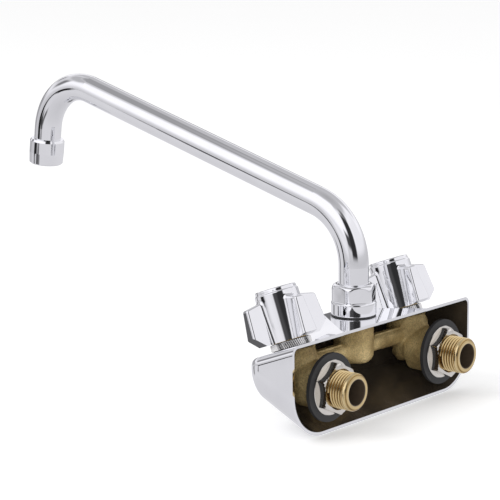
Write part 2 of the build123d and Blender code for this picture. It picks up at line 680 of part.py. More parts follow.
def spout_corners():
    """Corners of the spout's centreline, before its bends are rounded."""
    rise = tan(radians(RISE_ANGLE))
    lean = tan(radians(OUTLET_TILT))
    mouth_reach, mouth_height = outlet_mouth()
    crest_reach = (mouth_reach + (mouth_height - KNEE_HEIGHT) * lean) / (1 + rise * lean)
    crest_height = KNEE_HEIGHT + crest_reach * rise
    tube_end = AERATOR_LENGTH - AERATOR_GRIP
    end_reach = mouth_reach - tube_end * sin(radians(OUTLET_TILT))
    end_height = mouth_height + tube_end * cos(radians(OUTLET_TILT))
    return [(0, TUBE_FOOT), (0, KNEE_HEIGHT), (crest_reach, crest_height), (end_reach, end_height)]


def make_spout_tube():
    points = [(0, -reach, height) for reach, height in spout_corners()]
    path = FilletPolyline(*points, radius=[KNEE_RADIUS, OUTLET_BEND_RADIUS])
    section = Pos(0, 0, TUBE_FOOT) * (Circle(TUBE_RADIUS) - Circle(TUBE_BORE_RADIUS))
    return spout_place() * sweep(section, path)


def make_spout_spigot():
    flange_foot = HUB_NECK_TOP + FACE_GAP
    spigot = cylinder(SPIGOT_JOURNAL_RADIUS, SPIGOT_FOOT, flange_foot)
    spigot = chamfer(spigot.edges().group_by(Axis.Z)[0], SPIGOT_CHAMFER)
    spigot += cylinder(SPIGOT_FLANGE_RADIUS, flange_foot, TUBE_FOOT)
    spigot += cylinder(TUBE_BORE_RADIUS - RUNNING_CLEARANCE, TUBE_FOOT, TUBE_FOOT + SPIGOT_STUB_LENGTH)
    for height in SPIGOT_RING_HEIGHTS.values():
        spigot -= ring_groove(SPIGOT_JOURNAL_RADIUS, SPIGOT_RING_SECTION, height, SOCKET_RADIUS)
    spigot -= cylinder(SPIGOT_BORE_RADIUS, SPIGOT_FOOT - 1, TUBE_FOOT + SPIGOT_STUB_LENGTH + 1)
    return spout_place() * spigot


def make_snap_ring():
    """Split ring in the space between the spigot's flange and the nut's lip."""
    top = TUBE_FOOT + SNAP_RING_THICKNESS
    body = ring(SPIGOT_FLANGE_RADIUS, TUBE_RADIUS + RUNNING_CLEARANCE, TUBE_FOOT, top)
    gap = Rot(0, 0, 90) * Cylinder(
        SPIGOT_FLANGE_RADIUS + 1, 4 * SNAP_RING_THICKNESS, arc_size=SNAP_RING_GAP_ANGLE
    )
    return spout_place() * (body - Pos(0, 0, top) * gap)


def aerator_place():
    """Frame of the aerator: its origin is the mouth's centre and its Z axis points back up the tube."""
    mouth_reach, mouth_height = outlet_mouth()
    lean = radians(OUTLET_TILT)
    origin = (0, -SPOUT_SETBACK - mouth_reach, mouth_height)
    return Plane(origin=origin, x_dir=(1, 0, 0), z_dir=(0, sin(lean), cos(lean))).location


def make_aerator_shell():
    shoulder = AERATOR_LENGTH - AERATOR_SHOULDER
    shell = turned(
        (0, 0),
        (AERATOR_FOOT_RADIUS - AERATOR_FOOT_CHAMFER, 0),
        (AERATOR_FOOT_RADIUS, AERATOR_FOOT_CHAMFER),
        (AERATOR_RADIUS, shoulder / 2),
        (AERATOR_RADIUS, shoulder),
        (AERATOR_RADIUS - AERATOR_SHOULDER / 2, AERATOR_LENGTH),
        (0, AERATOR_LENGTH),
    )
    shell -= cylinder(AERATOR_MOUTH_RADIUS, -1, AERATOR_LIP + 1)
    shell -= cylinder(TUBE_RADIUS + RUNNING_CLEARANCE, AERATOR_LIP, AERATOR_LENGTH + 1)
    return aerator_place() * shell


def make_aerator_insert():
    insert = cylinder(TUBE_RADIUS - RUNNING_CLEARANCE, AERATOR_LIP, AERATOR_INSERT_TOP)
    for radius, count in AERATOR_HOLE_CIRCLES.items():
        for index in range(count):
            place = Rot(0, 0, index * 360 / count) * Pos(radius, 0, 0)
            insert -= place * cylinder(AERATOR_HOLE_RADIUS, 0, AERATOR_LENGTH)
    return aerator_place() * insert


def make_aerator_washer():
    outside = TUBE_RADIUS - RUNNING_CLEARANCE
    tube_end = AERATOR_LENGTH - AERATOR_GRIP
    washer = ring(outside, outside - AERATOR_WASHER_WIDTH, AERATOR_INSERT_TOP, tube_end)
    return aerator_place() * washer


# ---------------------------------------------------------------------------
# Output, one file per piece
# ---------------------------------------------------------------------------


def save(solid, node):
    solid.label = node
    export_step(solid, f"parts/{node}.step")


def main():
    os.makedirs("parts", exist_ok=True)
    save(make_housing(), "housing")
    save(make_waterway(), "waterway")
    save(make_swivel_nut(), "swivel_nut")
    save(make_nut_seal(), "nut_seal")
    save(make_spout_tube(), "spout_tube")
    save(make_spout_spigot(), "spout_spigot")
    save(make_snap_ring(), "snap_ring")
    save(make_aerator_shell(), "aerator_shell")
    save(make_aerator_insert(), "aerator_insert")
    save(make_aerator_washer(), "aerator_washer")
    for name, height in SPIGOT_RING_HEIGHTS.items():
        seal = o_ring(SPIGOT_RING_CENTRE, SPIGOT_RING_SECTION, height)
        save(spout_place() * seal, f"spout_o_ring_{name}")
    for name, side in SIDES.items():
        save(make_inlet_shank(side), f"inlet_shank_{name}")
        save(make_wall_washer(side), f"wall_washer_{name}")
        save(make_flange_nut(side), f"flange_nut_{name}")
        place = valve_place(side)
        save(place * make_lock_ring(), f"lock_ring_{name}")
        save(place * make_cartridge_body(), f"cartridge_body_{name}")
        save(place * make_seat_seal(), f"seat_seal_{name}")
        save(place * make_fixed_disc(), f"fixed_disc_{name}")
        cartridge_ring = o_ring(CARTRIDGE_RING_CENTRE, CARTRIDGE_RING_SECTION, CARTRIDGE_RING_HEIGHT)
        save(place * cartridge_ring, f"cartridge_o_ring_{name}")
        turned_place = place * Rot(0, 0, KNOB_REST_TURN)
        stem_ring = o_ring(STEM_RING_CENTRE, STEM_RING_SECTION, STEM_RING_HEIGHT)
        save(turned_place * make_moving_disc(), f"moving_disc_{name}")
        save(turned_place * make_stem(), f"stem_{name}")
        save(turned_place * stem_ring, f"stem_o_ring_{name}")
        save(turned_place * make_knob(), f"knob_{name}")
        save(turned_place * make_handle_screw(), f"handle_screw_{name}")
        save(turned_place * make_index_cap(), f"index_cap_{name}")


main()
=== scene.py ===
import math

import bmesh
import bpy
from mathutils import Matrix, Vector, noise as rough


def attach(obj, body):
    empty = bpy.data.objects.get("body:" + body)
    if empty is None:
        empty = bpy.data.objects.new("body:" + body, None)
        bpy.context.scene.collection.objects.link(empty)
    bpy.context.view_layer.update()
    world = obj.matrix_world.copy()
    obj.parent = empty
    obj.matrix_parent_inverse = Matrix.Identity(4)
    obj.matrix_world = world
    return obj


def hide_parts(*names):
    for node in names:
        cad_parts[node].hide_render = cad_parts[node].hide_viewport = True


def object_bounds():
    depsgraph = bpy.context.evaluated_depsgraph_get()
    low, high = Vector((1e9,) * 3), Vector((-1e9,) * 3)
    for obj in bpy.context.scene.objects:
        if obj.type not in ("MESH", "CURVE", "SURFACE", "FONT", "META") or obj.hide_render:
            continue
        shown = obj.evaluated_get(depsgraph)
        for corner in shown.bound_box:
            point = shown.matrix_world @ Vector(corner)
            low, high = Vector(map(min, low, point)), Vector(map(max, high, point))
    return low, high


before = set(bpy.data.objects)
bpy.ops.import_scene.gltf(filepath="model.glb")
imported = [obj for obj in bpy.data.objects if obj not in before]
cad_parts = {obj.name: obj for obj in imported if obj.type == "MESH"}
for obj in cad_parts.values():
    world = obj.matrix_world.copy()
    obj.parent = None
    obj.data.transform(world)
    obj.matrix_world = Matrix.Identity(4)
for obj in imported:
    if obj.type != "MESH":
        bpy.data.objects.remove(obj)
CAD_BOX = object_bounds()

MM = 0.001
MERGE_DISTANCE = 1e-6
SIDES = {"cold": 1, "hot": -1}

# ---------------------------------------------------------------- the faucet's own sizes, in millimetres

INLET_CENTRES = 101.6
DECK_SLOPE = 21.0
DECK_HEIGHT_AT_WALL = 27.3
VALVE_SETBACK = 25.0
DECK_HEIGHT_AT_VALVE = DECK_HEIGHT_AT_WALL - VALVE_SETBACK * math.tan(math.radians(DECK_SLOPE))
SPOUT_SETBACK = 22.6
HUB_NECK_FOOT = 25.7
HUB_NECK_RADIUS = 11.0
SOCKET_RADIUS = 7.6
SOCKET_BOTTOM = 12.0
CROSS_TUBE_SETBACK = 21.4
CROSS_TUBE_HEIGHT = 8.4
SHANK_BACK = -9.0
SHANK_REACH = 19.3
SHANK_RADIUS = 10.4
SHANK_BORE_RADIUS = 6.85
TAIL_RADIUS = 10.2
WASHER_THICKNESS = 2.0
FLANGE_RADIUS = 15.0
FLANGE_THICKNESS = 0.8
NUT_FACE = 8.4
NUT_ACROSS_FLATS = 25.2
NUT_BORE_RADIUS = 10.45
NUT_CORNER_RADIUS = 0.6
NUT_TURN = -25.0
SWIVEL_FOOT = 28.1
SWIVEL_TOP = 45.2
SWIVEL_LIP_FLOOR = 40.8
SWIVEL_COLLAR_TOP = 35.3
SWIVEL_COLLAR_RADIUS = 12.75
SWIVEL_ACROSS_FLATS = 22.9
SWIVEL_TURN = 24.5
SWIVEL_CORNER_RADIUS = 3.4
SWIVEL_BORE_RADIUS = 11.05
SWIVEL_MOUTH_RADIUS = 8.8
KNOB_TURN = -18.0
KNOB_BOTTOM = 4.4
EAR_CORNER_START = 17.0
EAR_CORNER_END = 23.5
EAR_CORNER_TOP = 10.0
EAR_FLOOR_RISE = 0.18
EAR_LEAN = 0.0774
EAR_HALF_WIDTH = 4.6
EAR_TAPER = 0.0866
RING_RADIUS = 11.35
RING_HOLE_RADIUS = 9.45
RING_HEIGHT = 4.2
RING_CHAMFER = 0.5

# ---------------------------------------------------------------- camera

CAMERA_PLACE = Vector((0.79018, 0.59228, 0.25409))
CAMERA_RIGHT = Vector((-0.65700, 0.75380, -0.00970))
CAMERA_UP = Vector((-0.14670, -0.11530, 0.98240))
CAMERA_LENS = 132.06
SENSOR_WIDTH = 36.0
CLIP_START = 0.01
CLIP_END = 60.0


def add_camera():
    """The camera behind and to the cold side of the faucet, a little above it."""
    data = bpy.data.cameras.new("camera")
    data.lens = CAMERA_LENS
    data.sensor_width = SENSOR_WIDTH
    data.clip_start = CLIP_START
    data.clip_end = CLIP_END
    camera = bpy.data.objects.new("camera", data)
    right = CAMERA_RIGHT.normalized()
    back = right.cross(CAMERA_UP).normalized()
    up = back.cross(right)
    turn = Matrix((right, up, back)).transposed().to_4x4()
    camera.matrix_world = Matrix.Translation(CAMERA_PLACE) @ turn
    bpy.context.scene.collection.objects.link(camera)
    bpy.context.scene.camera = camera


# ---------------------------------------------------------------- material helpers


def new_material(name):
    """An empty node material: its tree, its principled shader."""
    material = bpy.data.materials.new(name)
    material.use_nodes = True
    tree = material.node_tree
    return material, tree, tree.nodes["Principled BSDF"]


def object_place(tree):
    """The place on the piece, in metres."""
    return tree.nodes.new("ShaderNodeTexCoord").outputs["Object"]


def noise(tree, place, scale, detail, roughness=0.5):
    node = tree.nodes.new("ShaderNodeTexNoise")
    node.inputs["Scale"].default_value = scale
    node.inputs["Detail"].default_value = detail
    node.inputs["Roughness"].default_value = roughness
    tree.links.new(place, node.inputs["Vector"])
    return node.outputs["Fac"]


def math_node(tree, operation, *values):
    """A Math node whose inputs are sockets or numbers."""
    node = tree.nodes.new("ShaderNodeMath")
    node.operation = operation
    feed(tree, node, values)
    return node.outputs[0]


def vector_node(tree, operation, *values, output=0):
    node = tree.nodes.new("ShaderNodeVectorMath")
    node.operation = operation
    feed(tree, node, values)
    return node.outputs[output]


def feed(tree, node, values):
    for socket, value in zip(node.inputs, values):
        if isinstance(value, bpy.types.NodeSocket):
            tree.links.new(value, socket)
        else:
            socket.default_value = value


def ramp(tree, value, stops):
    """A colour or grey for each of the value's stops."""
    node = tree.nodes.new("ShaderNodeValToRGB")
    bar = node.color_ramp
    while len(bar.elements) < len(stops):
        bar.elements.new(0.5)
    for element, (at, colour) in zip(bar.elements, stops):
        element.position = at
        element.color = (*colour, 1.0)
    tree.links.new(value, node.inputs["Fac"])
    return node.outputs["Color"]


def cloudy(tree, value, low, high):
    """Goes from the low to the high colour over the middle of a noise's range."""
    return ramp(tree, value, [(0.3, low), (0.7, high)])


def grey(level):
    return (level, level, level)


def cool(level):
    """A grey with the faint lavender cast of a studio tent."""
    return (level, 0.992 * level, 1.03 * level)


def mix(tree, share, first, second, blend="MIX"):
    """Colour that goes from the first to its blend with the second as the share goes from 0 to 1."""
    node = tree.nodes.new("ShaderNodeMix")
    node.data_type = "RGBA"
    node.blend_type = blend
    for name, value in (("Factor", share), ("A", first), ("B", second)):
        socket = [s for s in node.inputs if s.name == name and (name == "Factor" or s.type == "RGBA")][0]
        if isinstance(value, bpy.types.NodeSocket):
            tree.links.new(value, socket)
        elif name == "Factor":
            socket.default_value = value
        else:
            socket.default_value = (*value, 1.0)
    return [s for s in node.outputs if s.type == "RGBA"][0]


def bump(tree, shader, height, strength, distance):
    node = tree.nodes.new("ShaderNodeBump")
    node.inputs["Strength"].default_value = strength
    node.inputs["Distance"].default_value = distance
    tree.links.new(height, node.inputs["Height"])
    tree.links.new(node.outputs["Normal"], shader.inputs["Normal"])


# ---------------------------------------------------------------- finishes

CHROME_DARK = (0.875, 0.878, 0.898)
CHROME_LIGHT = (0.915, 0.918, 0.935)
HAZE_SCALE = 60.0
RIPPLE_SCALE = 95.0
RIPPLE_STRENGTH = 0.06
PLATE_RELIEF = 0.0004


def buffed_plate(tree, place):
    """Colour, roughness and height of chrome: a faint haze and the slight waviness of buffed brass."""
    haze = noise(tree, place, HAZE_SCALE, 3.0)
    colour = cloudy(tree, haze, CHROME_DARK, CHROME_LIGHT)
    roughness = cloudy(tree, haze, grey(0.03), grey(0.05))
    return colour, roughness, noise(tree, place, RIPPLE_SCALE, 1.0)


def chrome_plate():
    """Polished chrome over buffed brass."""
    material, tree, shader = new_material("chrome_plate")
    colour, roughness, ripple = buffed_plate(tree, object_place(tree))
    tree.links.new(colour, shader.inputs["Base Color"])
    shader.inputs["Metallic"].default_value = 1.0
    tree.links.new(roughness, shader.inputs["Roughness"])
    bump(tree, shader, ripple, RIPPLE_STRENGTH, PLATE_RELIEF)
    return material


SHELL_MIDDLE = (0.0, -0.018, 0.0)
WASH_SCALE = 38.0
# Inside colours: a dull wash of plating whose dark levels are painted shade of the hollow shell
INSIDE_WASH_AND_SHADE_STOPS = [(0.25, (0.045, 0.034, 0.026)), (0.5, (0.085, 0.068, 0.05)), (0.8, (0.17, 0.135, 0.10))]
WASH_METALLIC = 0.55
GRIT_SCALE = 520.0
GRIT_STRENGTH = 0.10


def shell_plate():
    """The shell: chrome outside, and inside a thin wash of plating over the raw casting, made dark with
    painted shade of the hollow.
    """
    material, tree, shader = new_material("shell_plate")
    place = object_place(tree)
    outer, smooth, ripple = buffed_plate(tree, place)
    stain = noise(tree, place, WASH_SCALE, 5.0, 0.6)
    # The inside's colour: a dull wash darkened with painted shade of the hollow
    inner_wash_and_shade = ramp(tree, stain, INSIDE_WASH_AND_SHADE_STOPS)
    satin = ramp(tree, stain, [(0.3, grey(0.16)), (0.75, grey(0.30))])
    away = vector_node(tree, "SUBTRACT", place, SHELL_MIDDLE)
    normal = tree.nodes.new("ShaderNodeTexCoord").outputs["Normal"]
    facing = vector_node(tree, "DOT_PRODUCT", normal, away, output=1)
    inside = math_node(tree, "LESS_THAN", facing, 0.0)
    tree.links.new(mix(tree, inside, outer, inner_wash_and_shade), shader.inputs["Base Color"])
    tree.links.new(mix(tree, inside, grey(1.0), grey(WASH_METALLIC)), shader.inputs["Metallic"])
    tree.links.new(mix(tree, inside, smooth, satin), shader.inputs["Roughness"])
    waves = math_node(tree, "MULTIPLY", ripple, RIPPLE_STRENGTH)
    grit = math_node(tree, "MULTIPLY", noise(tree, place, GRIT_SCALE, 3.0), GRIT_STRENGTH)
    grit = math_node(tree, "MULTIPLY", grit, inside)
    bump(tree, shader, math_node(tree, "ADD", waves, grit), 1.0, PLATE_RELIEF)
    return material


CASTING_STOPS = [(0.30, (0.33, 0.22, 0.085)), (0.5, (0.58, 0.43, 0.19)), (0.7, (0.86, 0.67, 0.33))]
SPECK_STOPS = [(0.36, (0.62, 0.62, 0.62)), (0.62, (1.05, 1.05, 1.05))]
STAIN_SCALE = 55.0
CASTING_METALLIC = 0.45
SAND_SCALE = 1500.0
SAND_STRENGTH = 0.9
SAND_RELIEF = 0.00035


def sand_cast_brass():
    """Raw golden-brown casting: grainy from its sand mould, darker where the flame and oil stained it."""
    material, tree, shader = new_material("sand_cast_brass")
    place = object_place(tree)
    stain = noise(tree, place, STAIN_SCALE, 4.0, 0.6)
    grain = noise(tree, place, SAND_SCALE, 3.0, 0.6)
    colour = mix(tree, 1.0, ramp(tree, stain, CASTING_STOPS), ramp(tree, grain, SPECK_STOPS), "MULTIPLY")
    tree.links.new(colour, shader.inputs["Base Color"])
    shader.inputs["Metallic"].default_value = CASTING_METALLIC
    tree.links.new(cloudy(tree, grain, grey(0.42), grey(0.58)), shader.inputs["Roughness"])
    bump(tree, shader, grain, SAND_STRENGTH, SAND_RELIEF)
    return material


# How much finer a surface's marks are than the clouds in its tone
MARK_FINENESS = 6
TOOL_MARK_STRENGTH = 0.5
MOULD_MARK_STRENGTH = 0.4


def turned_metal(name, dark, light, rough_low, rough_high, scale, depth=0.0, stretch=(1.0, 1.0, 1.0)):
    """A bright turned or plated metal with its cloudy tone and, where it has them, fine tool marks."""
    material, tree, shader = new_material(name)
    place = object_place(tree)
    cloud = noise(tree, place, scale, 4.0)
    tree.links.new(cloudy(tree, cloud, dark, light), shader.inputs["Base Color"])
    shader.inputs["Metallic"].default_value = 1.0
    tree.links.new(cloudy(tree, cloud, grey(rough_low), grey(rough_high)), shader.inputs["Roughness"])
    if depth:
        mapping = tree.nodes.new("ShaderNodeMapping")
        mapping.inputs["Scale"].default_value = stretch
        tree.links.new(place, mapping.inputs["Vector"])
        marks = noise(tree, mapping.outputs["Vector"], scale * MARK_FINENESS, 2.0)
        bump(tree, shader, marks, TOOL_MARK_STRENGTH, depth)
    return material


def moulded(name, dark, light, rough_low, rough_high, scale, depth):
    """A moulded rubber, plastic or ceramic."""
    material, tree, shader = new_material(name)
    place = object_place(tree)
    cloud = noise(tree, place, scale, 3.0)
    tree.links.new(cloudy(tree, cloud, dark, light), shader.inputs["Base Color"])
    tree.links.new(cloudy(tree, cloud, grey(rough_low), grey(rough_high)), shader.inputs["Roughness"])
    bump(tree, shader, noise(tree, place, scale * MARK_FINENESS, 2.0), MOULD_MARK_STRENGTH, depth)
    return material


def axis_distance(tree, origin, axis):
    """Distance in metres from a straight axis that each half of the faucet has, mirrored left to right."""
    parts = tree.nodes.new("ShaderNodeSeparateXYZ")
    tree.links.new(object_place(tree), parts.inputs[0])
    mirrored = tree.nodes.new("ShaderNodeCombineXYZ")
    tree.links.new(math_node(tree, "ABSOLUTE", parts.outputs["X"]), mirrored.inputs["X"])
    tree.links.new(parts.outputs["Y"], mirrored.inputs["Y"])
    tree.links.new(parts.outputs["Z"], mirrored.inputs["Z"])
    away = vector_node(tree, "SUBTRACT", mirrored.outputs[0], origin)
    return vector_node(tree, "LENGTH", vector_node(tree, "CROSS_PRODUCT", away, axis), output=1)


DULL_METALLIC = 0.15
DULL_EDGE = 0.2


def shaded_by_radius(name, stops, scale, origin, axis, rough_low, rough_high, dull_radius):
    """A turned metal whose colour goes with its distance from the axis: painted shade in the grooves and
    bore, a painted highlight on the crests.

    The stops give a colour for each radius, and the metal is dull inside the last radius. Millimetres."""
    material, tree, shader = new_material(name)
    distance = axis_distance(tree, origin, axis)
    low, high = stops[0][0], stops[-1][0]
    share = math_node(tree, "MULTIPLY_ADD", distance, 1 / ((high - low) * MM), -low / (high - low))
    # Painted shade in the grooves and bore and a painted highlight on the crests, by radius
    tone = ramp(tree, share, [((radius - low) / (high - low), colour) for radius, colour in stops])
    cloud = noise(tree, object_place(tree), scale, 4.0)
    colour = mix(tree, 1.0, tone, cloudy(tree, cloud, grey(0.8), grey(1.0)), "MULTIPLY")
    tree.links.new(colour, shader.inputs["Base Color"])
    bright = ramp(tree, share, [((dull_radius - low) / (high - low), grey(DULL_METALLIC)),
                                ((dull_radius + DULL_EDGE - low) / (high - low), grey(1.0))])
    tree.links.new(bright, shader.inputs["Metallic"])
    tree.links.new(cloudy(tree, cloud, grey(rough_low), grey(rough_high)), shader.inputs["Roughness"])
    return material


CHROME = chrome_plate()
SHELL = shell_plate()
CASTING = sand_cast_brass()
BRASS = turned_metal("machined_brass", (0.70, 0.49, 0.19), (0.80, 0.60, 0.28), 0.16, 0.25, 150.0, 0.00004,
                     (0.15, 3.0, 0.15))
NICKEL = turned_metal("nickel_plate", (0.74, 0.71, 0.66), (0.80, 0.77, 0.72), 0.10, 0.17, 120.0)
STAINLESS = turned_metal("stainless_steel", (0.58, 0.58, 0.57), (0.64, 0.64, 0.63), 0.2, 0.28, 120.0)
INLET_AXIS = ((INLET_CENTRES / 2 * MM, 0.0, 0.0), (0.0, 1.0, 0.0))
# Colour by radius from the inlet axis: painted shade darkens the bore and the thread's grooves, and a
# painted highlight lightens the crests
THREAD_SHADE_STOPS = [
    (6.4, (0.06, 0.043, 0.03)), (7.15, (0.09, 0.065, 0.044)), (7.45, (0.86, 0.68, 0.38)),
    (8.9, (0.80, 0.60, 0.30)), (9.25, (0.30, 0.19, 0.07)), (9.6, (0.46, 0.31, 0.12)),
    (9.95, (0.84, 0.65, 0.34)), (10.4, (0.90, 0.72, 0.42)),
]
THREADED_BRASS = shaded_by_radius("threaded_brass", THREAD_SHADE_STOPS, 150.0, *INLET_AXIS, 0.17, 0.27, 7.2)
VALVE_ORIGIN = (INLET_CENTRES / 2 * MM, -VALVE_SETBACK * MM, DECK_HEIGHT_AT_VALVE * MM)
VALVE_AXIS = (0.0, -math.sin(math.radians(DECK_SLOPE)), math.cos(math.radians(DECK_SLOPE)))
# Colour by radius from the valve axis: painted shade darkens the grooves between the serrations, and a
# painted highlight whitens their crests
KNURL_SHADE_STOPS = [(9.4, grey(0.7)), (10.55, grey(0.32)), (10.95, grey(0.72)), (11.2, (0.96, 0.95, 0.92))]
KNURLED = shaded_by_radius("knurled_steel", KNURL_SHADE_STOPS, 260.0, VALVE_ORIGIN, VALVE_AXIS, 0.2, 0.32, 9.0)
RUBBER = moulded("black_rubber", (0.020, 0.020, 0.021), (0.032, 0.032, 0.033), 0.5, 0.62, 90.0, 0.00005)
CERAMIC = moulded("lapped_ceramic", (0.85, 0.84, 0.81), (0.9, 0.89, 0.86), 0.2, 0.28, 90.0, 0.00001)
WHITE_PLASTIC = moulded("white_plastic", (0.8, 0.8, 0.78), (0.84, 0.84, 0.82), 0.35, 0.42, 90.0, 0.00002)
BLUE_PLASTIC = moulded("blue_plastic", (0.045, 0.15, 0.52), (0.055, 0.17, 0.57), 0.25, 0.3, 90.0, 0.00002)
RED_PLASTIC = moulded("red_plastic", (0.57, 0.036, 0.036), (0.62, 0.044, 0.044), 0.25, 0.3, 90.0, 0.00002)

FINISHES = {
    "chrome": CHROME, "cast_brass": CASTING, "brass": BRASS, "nickel": NICKEL,
    "stainless": STAINLESS, "black_rubber": RUBBER, "ceramic": CERAMIC,
    "white_plastic": WHITE_PLASTIC, "blue_plastic": BLUE_PLASTIC, "red_plastic": RED_PLASTIC,
}


def dress_nodes():
    """Each CAD node in the finish that its record slot names, and the shell in its own."""
    for name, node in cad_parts.items():
        for place in node.material_slots:
            slot = place.material.name.split(".")[0] if place.material else ""
            if slot in FINISHES:
                place.material = FINISHES[slot]
        if name == "housing":
            node.material_slots[0].material = SHELL


# ---------------------------------------------------------------- mesh helpers


def new_piece(name, mesh, material):
    """A piece at the origin, with its finish."""
    piece = bpy.data.objects.new(name, mesh)
    bpy.context.scene.collection.objects.link(piece)
    piece.data.materials.clear()
    piece.data.materials.append(material)
    return piece


def rounded_hexagon(angle, across_flats, corner_radius, turn):
    """Distance from the middle of a round-cornered hexagon to its edge, at an angle in radians."""
    sixth = math.pi / 3
    off_corner = (angle - math.radians(turn) + sixth / 2) % sixth - sixth / 2
    flat = across_flats / 2
    if flat * math.tan(sixth / 2 - abs(off_corner)) < (flat - corner_radius) * math.tan(sixth / 2):
        return flat / math.cos(sixth / 2 - abs(off_corner))
    middle = (flat - corner_radius) / math.cos(sixth / 2)
    aside = middle * math.sin(off_corner)
    return middle * math.cos(off_corner) + math.sqrt(corner_radius ** 2 - aside ** 2)


def soft_minimum(first, second, softness):
    """The smaller of two lengths, blended where they come close."""
    smaller = min(first, second)
    share = math.exp((smaller - first) / softness) + math.exp((smaller - second) / softness)
    return smaller - softness * math.log(share)


def from_edge(radius, height, outline):
    """The points of an outline that is given from a radius and a height."""
    return [(radius + aside, height + up) for aside, up in outline]


def lathed(name, profile, steps, shape=None):
    """Closed mesh turned about the Z axis from a closed loop of (radius, height) points, in millimetres.

    The shape, if given, changes each radius by its angle and height."""
    build = bmesh.new()
    rings = []
    for index in range(steps):
        angle = 2 * math.pi * index / steps
        spoke = (math.cos(angle) * MM, math.sin(angle) * MM)
        radii = [shape(angle, r, z) if shape else r for r, z in profile]
        points = [(r * spoke[0], r * spoke[1], z * MM) for r, (_, z) in zip(radii, profile)]
        rings.append([build.verts.new(point) for point in points])
    count = len(profile)
    for index, ring in enumerate(rings):
        after = rings[(index + 1) % steps]
        for corner in range(count):
            step = (corner + 1) % count
            build.faces.new((ring[corner], after[corner], after[step], ring[step]))
    bmesh.ops.recalc_face_normals(build, faces=build.faces)
    mesh = bpy.data.meshes.new(name)
    build.to_mesh(mesh)
    build.free()
    return mesh


def smooth_by_angle(mesh, degrees):
    """Smooth shading that stops at edges sharper than the angle."""
    mesh.polygons.foreach_set("use_smooth", [True] * len(mesh.polygons))
    mesh.set_sharp_from_angle(angle=math.radians(degrees))


def valve_place(side):
    """Frame of one valve: its origin is on the deck and its Z axis is square to the deck."""
    foot = Vector((side * INLET_CENTRES / 2, -VALVE_SETBACK, DECK_HEIGHT_AT_VALVE))
    return Matrix.Translation(foot * MM) @ Matrix.Rotation(math.radians(DECK_SLOPE), 4, "X")


def inlet_place(side):
    """Frame of one inlet: its Z axis points into the wall."""
    place = Matrix.Translation(Vector((side * INLET_CENTRES / 2, 0, 0)) * MM)
    return place @ Matrix.Rotation(-math.pi / 2, 4, "X")


# ---------------------------------------------------------------- geometry node helpers


def new_tree(name, sizes):
    """A geometry tree with a mesh in, a mesh out and one named number for each size."""
    tree = bpy.data.node_groups.new(name, "GeometryNodeTree")
    tree.interface.new_socket("Geometry", in_out="INPUT", socket_type="NodeSocketGeometry")
    for size, kind in sizes.items():
        tree.interface.new_socket(size, in_out="INPUT", socket_type=kind)
    tree.interface.new_socket("Geometry", in_out="OUTPUT", socket_type="NodeSocketGeometry")
    entry = tree.nodes.new("NodeGroupInput")
    leave = tree.nodes.new("NodeGroupOutput")
    return tree, entry, leave


def add_node(tree, kind, inputs=None, **settings):
    """A node with its settings and with its named inputs set or linked."""
    node = tree.nodes.new(kind)
    for name, value in settings.items():
        setattr(node, name, value)
    for name, value in (inputs or {}).items():
        socket = node.inputs[name]
        if isinstance(value, bpy.types.NodeSocket):
            tree.links.new(value, socket)
        else:
            socket.default_value = value
    return node


def grown(name, base, tree, sizes, material):
    """The base mesh with the tree's growth on it, as a plain mesh."""
    seed = new_piece(name + "_base", base, material)
    modifier = seed.modifiers.new("growth", "NODES")
    modifier.node_group = tree
    sockets = {item.name: item.identifier for item in tree.interface.items_tree
               if getattr(item, "in_out", "") == "INPUT"}
    for size, value in sizes.items():
        modifier[sockets[size]] = value
    bpy.context.view_layer.update()
    shape = seed.evaluated_get(bpy.context.evaluated_depsgraph_get())
    mesh = bpy.data.meshes.new_from_object(shape)
    seed.modifiers.clear()
    bpy.data.objects.remove(seed)
    mesh.name = name
    return mesh


def close_tree(tree, base, growth, leave, material):
    """Joins the growth to the base, makes both one real mesh and gives it its finish."""
    joined = add_node(tree, "GeometryNodeJoinGeometry")
    tree.links.new(base, joined.inputs[0])
    tree.links.new(growth, joined.inputs[0])
    solid = add_node(tree, "GeometryNodeRealizeInstances", {"Geometry": joined.outputs[0]})
    dressed = add_node(tree, "GeometryNodeSetMaterial", {
        "Geometry": solid.outputs[0], "Material": material})
    tree.links.new(dressed.outputs[0], leave.inputs[0])


THREAD_STEPS = 56
FLANK_SHARE = 0.49


def thread_tree(material):
    """A helical ridge of diamond section, wound round the Z axis and joined to the base."""
    kinds = {"Crest Radius": "NodeSocketFloat", "Pitch": "NodeSocketFloat", "Depth": "NodeSocketFloat",
             "Turns": "NodeSocketFloat", "Start": "NodeSocketFloat"}
    tree, entry, leave = new_tree("pipe_thread", kinds)
    size = entry.outputs
    middle = math_node(tree, "SUBTRACT", size["Crest Radius"], size["Depth"])
    length = math_node(tree, "MULTIPLY", size["Pitch"], size["Turns"])
    helix = add_node(tree, "GeometryNodeCurveSpiral", {
        "Resolution": THREAD_STEPS, "Rotations": size["Turns"], "Start Radius": middle,
        "End Radius": middle, "Height": length})
    raised = add_node(tree, "ShaderNodeCombineXYZ", {"Z": size["Start"]})
    placed = add_node(tree, "GeometryNodeTransform", {
        "Geometry": helix.outputs[0], "Translation": raised.outputs[0]})
    upright = add_node(tree, "GeometryNodeSetCurveNormal", {"Curve": placed.outputs[0]}, mode="Z_UP")
    diamond = add_node(tree, "GeometryNodeCurvePrimitiveCircle", {"Resolution": 4, "Radius": 1.0})
    half_pitch = math_node(tree, "MULTIPLY", size["Pitch"], FLANK_SHARE)
    stretch = add_node(tree, "ShaderNodeCombineXYZ", {"X": size["Depth"], "Y": half_pitch, "Z": 1.0})
    section = add_node(tree, "GeometryNodeTransform", {
        "Geometry": diamond.outputs[0], "Scale": stretch.outputs[0]})
    ridge = add_node(tree, "GeometryNodeCurveToMesh", {
        "Curve": upright.outputs[0], "Profile Curve": section.outputs[0], "Fill Caps": True})
    close_tree(tree, size["Geometry"], ridge.outputs[0], leave, material)
    return tree


